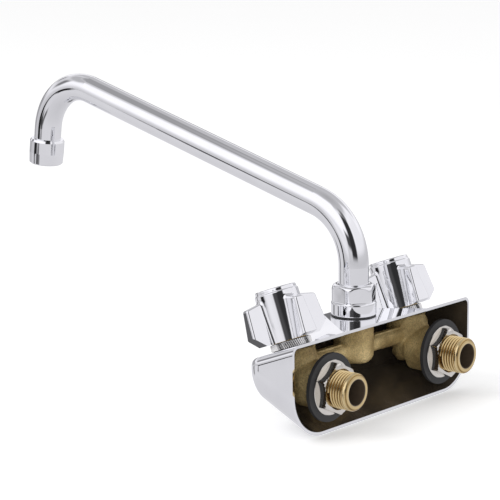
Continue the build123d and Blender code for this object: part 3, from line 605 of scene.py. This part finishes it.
def knurl_tree(material):
    """Square rods set side by side round a ring, each leaning and lying half in it."""
    kinds = {"Count": "NodeSocketInt", "Radius": "NodeSocketFloat", "Rod Radius": "NodeSocketFloat",
             "Rod Length": "NodeSocketFloat", "Middle": "NodeSocketFloat", "Lean": "NodeSocketFloat"}
    tree, entry, leave = new_tree("knurled_edge", kinds)
    size = entry.outputs
    circle = add_node(tree, "GeometryNodeMeshCircle", {"Vertices": size["Count"], "Radius": size["Radius"]})
    raised = add_node(tree, "ShaderNodeCombineXYZ", {"Z": size["Middle"]})
    placed = add_node(tree, "GeometryNodeTransform", {
        "Geometry": circle.outputs[0], "Translation": raised.outputs[0]})
    rod = add_node(tree, "GeometryNodeMeshCylinder", {
        "Vertices": 4, "Radius": size["Rod Radius"], "Depth": size["Rod Length"]})
    spot = add_node(tree, "GeometryNodeInputPosition")
    parts = add_node(tree, "ShaderNodeSeparateXYZ", {0: spot.outputs[0]})
    angle = math_node(tree, "ARCTAN2", parts.outputs["Y"], parts.outputs["X"])
    turn = add_node(tree, "ShaderNodeCombineXYZ", {"X": size["Lean"], "Z": angle})
    rods = add_node(tree, "GeometryNodeInstanceOnPoints", {
        "Points": placed.outputs[0], "Instance": rod.outputs["Mesh"], "Rotation": turn.outputs[0]})
    close_tree(tree, size["Geometry"], rods.outputs[0], leave, material)
    return tree


# ---------------------------------------------------------------- inlet shanks

THREAD_PITCH = 1.75
THREAD_DEPTH = 1.05
THREAD_START = 7.5
THREAD_TURNS = 5.3
SHOULDER_DEPTH = 1.6
RELIEF_DEPTH = 1.2
SHANK_STEPS = 96
END_BAND_START = 16.9
# Outlines, as (radius, height) from the edge that each belongs to
BAND_RISE = [(-THREAD_DEPTH, -0.5), (-0.35, -0.1), (0.0, 0.25)]
END_ROUNDING = [(0.0, -1.3), (-0.25, -0.75), (-0.75, -0.25), (-1.35, 0.0)]
BORE_ROUNDING = [(0.45, 0.0), (0.1, -0.15), (0.0, -0.5)]


def add_shanks():
    """Each brass shank with its pipe thread cut between the nut and a plain, rounded end."""
    profile = [
        (SHANK_BORE_RADIUS, SHANK_BACK), (SHANK_RADIUS, SHANK_BACK),
        (SHANK_RADIUS, NUT_FACE - SHOULDER_DEPTH), (TAIL_RADIUS - THREAD_DEPTH, NUT_FACE - RELIEF_DEPTH),
    ]
    profile += from_edge(TAIL_RADIUS, END_BAND_START, BAND_RISE)
    profile += from_edge(TAIL_RADIUS, SHANK_REACH, END_ROUNDING)
    profile += from_edge(SHANK_BORE_RADIUS, SHANK_REACH, BORE_ROUNDING)
    tree = thread_tree(THREADED_BRASS)
    sizes = {"Crest Radius": TAIL_RADIUS * MM, "Pitch": THREAD_PITCH * MM, "Depth": THREAD_DEPTH * MM,
             "Turns": THREAD_TURNS, "Start": THREAD_START * MM}
    for name, side in SIDES.items():
        core = lathed("shank_core", profile, SHANK_STEPS)
        mesh = grown("threaded_shank_" + name, core, tree, sizes, THREADED_BRASS)
        mesh.transform(inlet_place(side))
        smooth_by_angle(mesh, 38)
        piece = new_piece("threaded_shank_" + name, mesh, THREADED_BRASS)
        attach(piece, "fixture")
        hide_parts("inlet_shank_" + name)


# ---------------------------------------------------------------- knurled lock rings

KNURL_COUNT = 60
KNURL_ROD_RADIUS = 0.66
KNURL_ROD_LENGTH = RING_HEIGHT - 0.7
KNURL_LEAN = 14.0


def add_lock_rings():
    """Each lock ring with fine slanted serrations round its edge."""
    edge = RING_RADIUS - KNURL_ROD_RADIUS
    profile = [
        (RING_HOLE_RADIUS, 0.0), (edge - RING_CHAMFER, 0.0), (edge, RING_CHAMFER),
        (edge, RING_HEIGHT - RING_CHAMFER), (edge - RING_CHAMFER, RING_HEIGHT),
        (RING_HOLE_RADIUS, RING_HEIGHT),
    ]
    tree = knurl_tree(KNURLED)
    sizes = {"Count": KNURL_COUNT, "Radius": edge * MM, "Rod Radius": KNURL_ROD_RADIUS * MM,
             "Rod Length": KNURL_ROD_LENGTH * MM, "Middle": RING_HEIGHT / 2 * MM,
             "Lean": math.radians(KNURL_LEAN)}
    for name, side in SIDES.items():
        base = lathed("ring_base", profile, KNURL_COUNT)
        mesh = grown("knurled_ring_" + name, base, tree, sizes, KNURLED)
        mesh.transform(valve_place(side))
        smooth_by_angle(mesh, 30)
        piece = new_piece("knurled_ring_" + name, mesh, KNURLED)
        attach(piece, "fixture")
        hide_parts("lock_ring_" + name)


# ---------------------------------------------------------------- flange nuts

NUT_STEPS = 180
NUT_CORNER = NUT_ACROSS_FLATS / math.sqrt(3)
FLANGE_FACE = WASHER_THICKNESS + FLANGE_THICKNESS
# The outline follows the hexagon above this height and outside this radius
HEXAGON_START = FLANGE_FACE + 0.05
HEXAGON_INSIDE = NUT_BORE_RADIUS + 0.2
HEXAGON_SOFTNESS = 0.05
# Outlines, as (radius, height) from the edge that each belongs to
FLANGE_FOOT = [(-0.15, 0.0), (0.0, 0.2)]
FLANGE_EDGE = [(0.0, -0.25), (-0.2, 0.0)]
HEXAGON_FOOT = [(0.12, 0.0), (0.0, 0.1), (0.0, 0.6)]
CORNER_DROP = [(0.0, -1.0), (-0.3, -0.5), (-1.1, -0.12), (-1.6, 0.0)]
NUT_MOUTH = [(0.7, 0.0), (0.0, -0.6)]


def flange_nut_shape(angle, radius, height):
    """The nut's hexagon above its flange."""
    if height < HEXAGON_START or radius < HEXAGON_INSIDE:
        return radius
    hexagon = rounded_hexagon(angle, NUT_ACROSS_FLATS, NUT_CORNER_RADIUS, NUT_TURN)
    return soft_minimum(radius, hexagon, HEXAGON_SOFTNESS)


def add_flange_nuts():
    """Each hex nut with its thin round flange, and its front corners turned down."""
    profile = [(NUT_BORE_RADIUS, WASHER_THICKNESS)]
    profile += from_edge(FLANGE_RADIUS, WASHER_THICKNESS, FLANGE_FOOT)
    profile += from_edge(FLANGE_RADIUS, FLANGE_FACE, FLANGE_EDGE)
    profile += from_edge(NUT_CORNER, FLANGE_FACE, HEXAGON_FOOT)
    profile += from_edge(NUT_CORNER, NUT_FACE, CORNER_DROP)
    profile += from_edge(NUT_BORE_RADIUS, NUT_FACE, NUT_MOUTH)
    for name, side in SIDES.items():
        mesh = lathed("hex_nut_" + name, profile, NUT_STEPS, flange_nut_shape)
        mesh.transform(inlet_place(side))
        smooth_by_angle(mesh, 24)
        piece = new_piece("hex_nut_" + name, mesh, NICKEL)
        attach(piece, "fixture")
        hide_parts("flange_nut_" + name)


# ---------------------------------------------------------------- swivel nut

SWIVEL_STEPS = 168
CUSHION_DEPTH = 0.45
CUSHION_GROWTH = 0.8
CUSHION_SOFTNESS = 0.07
# The outline is left round inside this radius and below this height, where the nut's inside is
INSIDE_RADIUS = SWIVEL_BORE_RADIUS + 0.1
INSIDE_TOP = SWIVEL_TOP - 0.6
# Outlines of the outside, as (radius, height)
COLLAR_RISE = [(SWIVEL_COLLAR_RADIUS, SWIVEL_FOOT + 0.5 + 0.6 * step) for step in range(11)]
WAIST = [(SWIVEL_COLLAR_RADIUS - 0.12, SWIVEL_COLLAR_TOP - 0.3), (12.5, 35.15), (12.4, 35.3),
         (12.42, 35.45), (12.5, 35.65), (12.6, 36.0)]
CUSHION_RISE = [(12.68, 36.5 + 0.7 * step) for step in range(9)]
CUSHION_TOP = [(12.6, 42.7), (12.45, 43.2), (12.2, 43.7), (11.85, 44.15), (11.4, 44.55), (10.9, 44.85),
               (10.4, 45.05), (10.0, 45.12), (9.2, SWIVEL_TOP)]
MOUTH_CHAMFER = 0.25


def swivel_nut_shape(angle, radius, height):
    """The round collar that turns into the cushion-shaped hexagon above it."""
    if radius < INSIDE_RADIUS and height < INSIDE_TOP:
        return radius
    share = min(max((height - SWIVEL_COLLAR_TOP + CUSHION_DEPTH) / CUSHION_GROWTH, 0.0), 1.0)
    share = share * share * (3 - 2 * share)
    hexagon = rounded_hexagon(angle, SWIVEL_ACROSS_FLATS, SWIVEL_CORNER_RADIUS, SWIVEL_TURN)
    return radius + share * (soft_minimum(radius, hexagon, CUSHION_SOFTNESS) - radius)


def add_swivel_nut():
    """The nut that holds the spout down, its corners well rounded above a round collar."""
    foot = [(SWIVEL_COLLAR_RADIUS - 0.2, SWIVEL_FOOT), (SWIVEL_COLLAR_RADIUS, SWIVEL_FOOT + 0.25)]
    inside = [(SWIVEL_MOUTH_RADIUS, SWIVEL_TOP - MOUTH_CHAMFER), (SWIVEL_MOUTH_RADIUS, SWIVEL_LIP_FLOOR),
              (SWIVEL_BORE_RADIUS, SWIVEL_LIP_FLOOR), (SWIVEL_BORE_RADIUS, SWIVEL_FOOT)]
    profile = foot + COLLAR_RISE + WAIST + CUSHION_RISE + CUSHION_TOP + inside
    mesh = lathed("cushion_nut", profile, SWIVEL_STEPS, swivel_nut_shape)
    mesh.transform(Matrix.Translation(Vector((0, -SPOUT_SETBACK, 0)) * MM))
    smooth_by_angle(mesh, 40)
    piece = new_piece("cushion_nut", mesh, CHROME)
    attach(piece, "fixture")
    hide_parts("swivel_nut")


# ---------------------------------------------------------------- knobs

SQUARE_EARS = (90.0, 270.0)
# Points inside the filled corner and inside the rim, from which their faces look away
INSIDE_EAR = (22.0, 0.0, 7.0)
INSIDE_RIM = (0.0, 0.0, 28.0)
# Cosines of the turn within which two faces are one plane, and within which new faces are shaded as one
SAME_PLANE = 0.9995
SMOOTH_TURN = 0.7
ON_THE_FLOOR = 0.01


def squared_corner(point, ear_angle):
    """Where a point on the cut corner of an ear lies once the corner is filled. Millimetres, knob frame.

    The filled corner's floor rises a little outward, so that it clears the platform's flank when turned."""
    height = point.z - KNOB_BOTTOM
    if height < ON_THE_FLOOR:
        return None
    turn = Matrix.Rotation(math.radians(-ear_angle), 3, "Z")
    local = turn @ point
    out_share = (local.x - EAR_CORNER_START) / (EAR_CORNER_END - EAR_CORNER_START)
    reach = local.x + EAR_LEAN * height * out_share
    floor = EAR_FLOOR_RISE * (reach - EAR_CORNER_START)
    widen = (EAR_HALF_WIDTH - floor * EAR_TAPER) / (EAR_HALF_WIDTH - height * EAR_TAPER)
    return turn.inverted() @ Vector((reach, local.y * widen, KNOB_BOTTOM + floor))


def cut_corner_faces(build, to_knob, ear_angle):
    """The faces of the slanting cut under one ear."""
    slope = math.atan2(EAR_CORNER_TOP - KNOB_BOTTOM, EAR_CORNER_END - EAR_CORNER_START)
    way = math.radians(ear_angle)
    normal = Vector((math.sin(slope) * math.cos(way), math.sin(slope) * math.sin(way), -math.cos(slope)))
    turn = to_knob.to_3x3()
    found = []
    for face in build.faces:
        middle = to_knob @ face.calc_center_median() / MM
        outward = middle.x * math.cos(way) + middle.y * math.sin(way)
        if (turn @ face.normal).dot(normal) > SAME_PLANE and outward > EAR_CORNER_START:
            found.append(face)
    return found


def cut_out(build, faces):
    """Removes faces with the edges that only they have, and gives the edges round the hole."""
    chosen = set(faces)
    rim = [edge for face in faces for edge in face.edges if sum(f in chosen for f in edge.link_faces) == 1]
    bmesh.ops.delete(build, geom=faces, context="FACES_ONLY")
    loose = [edge for edge in build.edges if not edge.link_faces]
    bmesh.ops.delete(build, geom=loose, context="EDGES")
    return rim


def fill_corner(build, to_knob, ear_angle):
    """Fills the cut corner under one ear down to the knob's foot."""
    rim = cut_out(build, cut_corner_faces(build, to_knob, ear_angle))
    to_body = to_knob.inverted()
    lowered = {}
    for edge in rim:
        for vertex in edge.verts:
            if vertex not in lowered:
                spot = squared_corner(to_knob @ vertex.co / MM, ear_angle)
                lowered[vertex] = build.verts.new(to_body @ (spot * MM)) if spot else vertex
    floor_edges, made = [], []
    for edge in rim:
        first, second = edge.verts
        corners = [first, second, lowered[second], lowered[first]]
        corners = [v for index, v in enumerate(corners) if v not in corners[:index]]
        if len(corners) > 2:
            made.append(build.faces.new(corners))
            floor_edges.append(build.edges.get((lowered[first], lowered[second])))
        else:
            floor_edges.append(edge)
    made.append(build.faces.new(ordered_loop(floor_edges)))
    turn = Matrix.Rotation(math.radians(ear_angle), 3, "Z")
    face_away(made, to_body @ (turn @ Vector(INSIDE_EAR) * MM))


def face_away(faces, inside):
    """Turns each face so that it looks away from a point inside the knob."""
    for face in faces:
        face.normal_update()
        if face.normal.dot(face.calc_center_median() - inside) < 0:
            face.normal_flip()


RIM_PROFILE = [
    (12.28, 30.75), (12.18, 30.98), (12.0, 31.12), (11.8, 31.22), (11.66, 31.4), (11.62, 31.7),
    (11.58, 32.6), (11.5, 32.95), (11.32, 33.25), (11.05, 33.43), (10.7, 33.5),
]
RIM_FOOT = 30.55
RIM_FOOT_BAND = 1.0
RECESS_RADIUS = 8.62


def shape_rim(build, to_knob):
    """Turns the plain cone above the knob's shoulder into a stepped rim with a rounded edge."""
    faces = []
    for face in build.faces:
        middle = to_knob @ face.calc_center_median() / MM
        if middle.z > RIM_FOOT and math.hypot(middle.x, middle.y) > RECESS_RADIUS:
            faces.append(face)
    rim = cut_out(build, faces)
    foot = [edge for edge in rim if (to_knob @ edge.verts[0].co).z < (RIM_FOOT + RIM_FOOT_BAND) * MM]
    mouth = [edge for edge in rim if edge not in foot]
    to_body = to_knob.inverted()
    made = []
    ring = ordered_loop(foot)
    spots = [to_knob @ vertex.co for vertex in ring]
    spokes = [math.atan2(spot.y, spot.x) for spot in spots]
    for radius, height in RIM_PROFILE:
        circle = [Vector((radius * math.cos(spoke), radius * math.sin(spoke), height)) for spoke in spokes]
        after = [build.verts.new(to_body @ (point * MM)) for point in circle]
        for index in range(len(ring)):
            step = (index + 1) % len(ring)
            made.append(build.faces.new((ring[index], ring[step], after[step], after[index])))
        ring = after
    top = [build.edges.get((ring[i], ring[(i + 1) % len(ring)])) for i in range(len(ring))]
    made += bmesh.ops.bridge_loops(build, edges=top + mouth)["faces"]
    face_away(made, to_body @ (Vector(INSIDE_RIM) * MM))


def ordered_loop(edges):
    """The vertices of a closed loop of edges, in order."""
    loop = list(edges[0].verts)
    rest = list(edges[1:])
    while rest:
        step = next(edge for edge in rest if loop[-1] in edge.verts)
        rest.remove(step)
        after = step.other_vert(loop[-1])
        if after is not loop[0]:
            loop.append(after)
    return loop


def corner_normals(build, origin, normals):
    """A normal for each face corner: the CAD's own on its faces, and a smooth one on the added faces."""
    added = {face for face in build.faces if not face[origin]}
    shading = []
    for face in build.faces:
        for place, corner in enumerate(face.loops):
            if face[origin]:
                shading.append(normals[face[origin] - 1 + place])
                continue
            near = [f.normal for f in corner.vert.link_faces
                    if f in added and f.normal.dot(face.normal) > SMOOTH_TURN]
            shading.append(sum(near, Vector()).normalized())
    return shading


def shaped_knob(name, side):
    """A copy of one CAD knob with its square ears and its stepped rim."""
    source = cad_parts["knob_" + name].data
    normals = [Vector(corner.vector) for corner in source.corner_normals]
    build = bmesh.new()
    build.from_mesh(source)
    origin = build.faces.layers.int.new("origin")
    for index, face in enumerate(build.faces):
        face[origin] = source.polygons[index].loop_start + 1
    bmesh.ops.remove_doubles(build, verts=build.verts, dist=MERGE_DISTANCE)
    build.normal_update()
    to_knob = (valve_place(side) @ Matrix.Rotation(math.radians(KNOB_TURN), 4, "Z")).inverted()
    for ear_angle in SQUARE_EARS:
        fill_corner(build, to_knob, ear_angle)
    shape_rim(build, to_knob)
    shading = corner_normals(build, origin, normals)
    mesh = bpy.data.meshes.new("eared_knob_" + name)
    build.to_mesh(mesh)
    build.free()
    for spare in ("origin", "custom_normal"):
        if spare in mesh.attributes:
            mesh.attributes.remove(mesh.attributes[spare])
    mesh.polygons.foreach_set("use_smooth", [True] * len(mesh.polygons))
    mesh.normals_split_custom_set(shading)
    return mesh


def add_knobs():
    """The knobs, each with a stepped rim, and with two opposite ears square where the CAD cuts all four."""
    for name, side in SIDES.items():
        piece = new_piece("eared_knob_" + name, shaped_knob(name, side), CHROME)
        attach(piece, name + "_handle")
        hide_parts("knob_" + name)


# ---------------------------------------------------------------- cast waterway

VOXEL = 0.00062
SOFTENING = 0.5
SOFTENING_ROUNDS = 3
GRAIN_SCALE = 1.1
GRAIN_HEIGHT = 0.16
LUMP_SCALE = 0.22
LUMP_HEIGHT = 0.30
SKIN_LIMIT = 0.25
PARTING_HEIGHT = 0.55
PARTING_HALF_WIDTH = 0.7
PARTING_LEAN = 0.45
PARTING_TOP = 24.0
PARTING_START = 15.0
MACHINED_MARGIN = 0.9
BOSS_FACE = -1.5


def machined(point):
    """The bored radius at a point that lies on the spout's socket or neck, or None. Millimetres."""
    distance = math.hypot(point.x, point.y + SPOUT_SETBACK)
    if point.z > SOCKET_BOTTOM + MACHINED_MARGIN and abs(distance - SOCKET_RADIUS) < MACHINED_MARGIN:
        return SOCKET_RADIUS
    if point.z > HUB_NECK_FOOT + MACHINED_MARGIN and abs(distance - HUB_NECK_RADIUS) < MACHINED_MARGIN:
        return HUB_NECK_RADIUS
    return None


def skin_height(point):
    """How far the casting's skin stands out at a point: lumps, grain and the parting ridge. Millimetres."""
    lump = rough.fractal(point * LUMP_SCALE, 1.0, 2.0, 2) * LUMP_HEIGHT
    grain = rough.noise(point * GRAIN_SCALE) * GRAIN_HEIGHT
    height = min(lump + grain, SKIN_LIMIT)
    if point.z < PARTING_TOP and abs(point.x) > PARTING_START:
        aside = abs(point.y + CROSS_TUBE_SETBACK - PARTING_LEAN * (point.z - CROSS_TUBE_HEIGHT))
        height += PARTING_HEIGHT * max(0.0, 1 - aside / PARTING_HALF_WIDTH)
    return height


def softened_waterway():
    """A copy of the CAD waterway as one fine skin with its edges softened."""
    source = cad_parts["waterway"].data.copy()
    build = bmesh.new()
    build.from_mesh(source)
    bmesh.ops.remove_doubles(build, verts=build.verts, dist=MERGE_DISTANCE)
    build.to_mesh(source)
    build.free()
    blank = new_piece("casting_blank", source, CASTING)
    remesh = blank.modifiers.new("skin", "REMESH")
    remesh.mode = "VOXEL"
    remesh.voxel_size = VOXEL
    remesh.use_smooth_shade = True
    soften = blank.modifiers.new("soften", "SMOOTH")
    soften.factor = SOFTENING
    soften.iterations = SOFTENING_ROUNDS
    bpy.context.view_layer.update()
    shape = blank.evaluated_get(bpy.context.evaluated_depsgraph_get())
    mesh = bpy.data.meshes.new_from_object(shape)
    blank.modifiers.clear()
    bpy.data.objects.remove(blank)
    mesh.name = "waterway_casting"
    return mesh


def add_casting():
    """The waterway as it comes from a sand mould: softened edges, a grainy skin and a parting line."""
    mesh = softened_waterway()
    normals = [vertex.normal.copy() for vertex in mesh.vertices]
    for vertex, normal in zip(mesh.vertices, normals):
        point = vertex.co / MM
        bore = machined(point)
        if bore:
            spoke = Vector((point.x, point.y + SPOUT_SETBACK, 0)).normalized() * bore
            vertex.co = Vector((spoke.x, spoke.y - SPOUT_SETBACK, point.z)) * MM
        elif point.y <= BOSS_FACE:
            vertex.co += normal * skin_height(point) * MM
    smooth_by_angle(mesh, 60)
    piece = new_piece("waterway_casting", mesh, CASTING)
    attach(piece, "fixture")
    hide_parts("waterway")


# ---------------------------------------------------------------- studio

FLOOR_REACH = 12.0
FLOOR_DROP = 0.0004
FLOOR_TONE = 0.94
FLOOR_ROUGHNESS = 0.95
FLOOR_LIFT = 0.24
SOFT_LIGHT = 0.75
KEY_PLACE = Vector((1.9, -0.9, 2.2))
KEY_SIZE = 1.4
KEY_POWER = 22.0
FILL_PLACE = Vector((1.15, 0.95, 0.42))
FILL_SIZE = 0.6
FILL_POWER = 5.5

# Surroundings that the plating reflects: level by elevation in degrees
SKY_STOPS = [
    (-90, 0.62), (-40, 0.68), (-20, 0.73), (-13, 0.72), (-6, 0.58), (2, 0.64), (8, 0.80), (15, 0.95),
    (24, 1.06), (49, 1.06), (56, 0.92), (64, 0.55), (90, 0.42),
]
# Panels, flags and lamps in them: azimuth, elevation, half width, half height, softness in degrees, level
PANELS = [
    (205, 47, 44, 18, 10, 0.55),
    (282, 47, 30, 11, 7, 0.50),
    (350, 42, 32, 24, 7, 1.12),
    (268, 27, 18, 9, 6, 0.66),
    (250, 22, 4, 5, 2.5, 0.05),
    (236, 4, 5, 4, 2.5, 0.15),
    (252, 6, 7, 5, 3, 0.15),
    (268, 1, 12, 8, 4, 0.36),
    (280, -15, 5, 5, 3, 0.12),
    (232, -16, 10, 7, 5, 1.05),
    (115, 30, 36, 20, 9, 0.90),
    (352, 2, 18, 7, 5, 0.88),
    (30, 15, 12, 8, 4, 0.07),
    (55, 27, 18, 28, 5, 0.03),
    (66, 58, 14, 7, 7, 0.16),
    (289, 25, 9, 9, 5, 0.22),
    (314.5, -11.5, 3.2, 5.5, 1.2, 0.02),
    (324, -9.5, 10, 3.4, 1.5, 0.02),
    (341, -14, 10, 3.5, 2.0, 0.06),
    (350, -23, 6, 7, 4, 0.12),
    (268, 63, 36, 6, 3, 0.36),
    (217, 13, 5, 5, 3, 0.18),
    (240, -48, 14, 8, 5, 0.12),
]


def add_floor():
    """A pale floor just under the faucet."""
    low = CAD_BOX[0][2] - FLOOR_DROP
    reach = FLOOR_REACH
    mesh = bpy.data.meshes.new("floor")
    corners = [(-reach, -reach, low), (reach, -reach, low), (reach, reach, low), (-reach, reach, low)]
    mesh.from_pydata(corners, [], [(0, 1, 2, 3)])
    floor = bpy.data.objects.new("floor", mesh)
    bpy.context.scene.collection.objects.link(floor)
    material, tree, shader = new_material("pale_floor")
    shader.inputs["Base Color"].default_value = (*grey(FLOOR_TONE), 1.0)
    shader.inputs["Roughness"].default_value = FLOOR_ROUGHNESS
    shader.inputs["Specular IOR Level"].default_value = 0.0
    path = tree.nodes.new("ShaderNodeLightPath")
    tree.links.new(math_node(tree, "MULTIPLY", path.outputs["Is Camera Ray"], FLOOR_LIFT),
                   shader.inputs["Emission Strength"])
    shader.inputs["Emission Color"].default_value = (1.0, 1.0, 1.0, 1.0)
    floor.data.materials.append(material)
    floor.visible_glossy = False


def panel_share(tree, direction, elevation, azimuth, height, half_width, half_height, softness):
    """How far a direction lies in a soft-edged panel, from 0 to 1."""
    turn = add_node(tree, "ShaderNodeVectorRotate", rotation_type="Z_AXIS")
    tree.links.new(direction, turn.inputs["Vector"])
    turn.inputs["Angle"].default_value = -math.radians(azimuth)
    parts = add_node(tree, "ShaderNodeSeparateXYZ", {0: turn.outputs[0]})
    sideways = math_node(tree, "ARCTAN2", parts.outputs["Y"], parts.outputs["X"])
    upward = math_node(tree, "SUBTRACT", elevation, math.radians(height))
    shares = []
    for offset, half in ((sideways, half_width), (upward, half_height)):
        fade = add_node(tree, "ShaderNodeMapRange", interpolation_type="SMOOTHSTEP")
        tree.links.new(math_node(tree, "ABSOLUTE", offset), fade.inputs["Value"])
        fade.inputs["From Min"].default_value = math.radians(half + softness)
        fade.inputs["From Max"].default_value = math.radians(max(half - softness, 0.0))
        shares.append(fade.outputs[0])
    return math_node(tree, "MULTIPLY", *shares)


def add_world():
    """White to the camera, a plain soft light on everything, and studio surroundings for the plating."""
    world = bpy.data.worlds.new("studio")
    bpy.context.scene.world = world
    world.use_nodes = True
    tree = world.node_tree
    direction = tree.nodes.new("ShaderNodeTexCoord").outputs["Generated"]
    direction = vector_node(tree, "NORMALIZE", direction)
    parts = add_node(tree, "ShaderNodeSeparateXYZ", {0: direction})
    elevation = math_node(tree, "ARCSINE", parts.outputs["Z"])
    height = math_node(tree, "MULTIPLY_ADD", elevation, 1 / math.pi, 0.5)
    stops = [((angle + 90) / 180, cool(level)) for angle, level in SKY_STOPS]
    surroundings = ramp(tree, height, stops)
    for *panel, level in PANELS:
        share = panel_share(tree, direction, elevation, *panel)
        surroundings = mix(tree, share, surroundings, cool(level))
    path = tree.nodes.new("ShaderNodeLightPath")
    seen = mix(tree, path.outputs["Is Diffuse Ray"], surroundings, grey(SOFT_LIGHT))
    seen = mix(tree, path.outputs["Is Camera Ray"], seen, grey(1.0))
    tree.links.new(seen, tree.nodes["Background"].inputs["Color"])


def add_lamp(name, place, size, power):
    """A large soft lamp turned to the faucet, that the plating doesn't reflect."""
    data = bpy.data.lights.new(name, "AREA")
    data.shape = "SQUARE"
    data.size = size
    data.energy = power
    lamp = bpy.data.objects.new(name, data)
    lamp.location = place
    lamp.rotation_euler = place.to_track_quat("Z", "Y").to_euler()
    lamp.visible_glossy = False
    lamp.visible_camera = False
    bpy.context.scene.collection.objects.link(lamp)


# ---------------------------------------------------------------- the scene

add_camera()
dress_nodes()
add_shanks()
add_lock_rings()
add_flange_nuts()
add_swivel_nut()
add_knobs()
add_casting()
add_floor()
add_world()
add_lamp("key_lamp", KEY_PLACE, KEY_SIZE, KEY_POWER)
add_lamp("fill_lamp", FILL_PLACE, FILL_SIZE, FILL_POWER)

bpy.context.scene.view_settings.view_transform = "Standard"
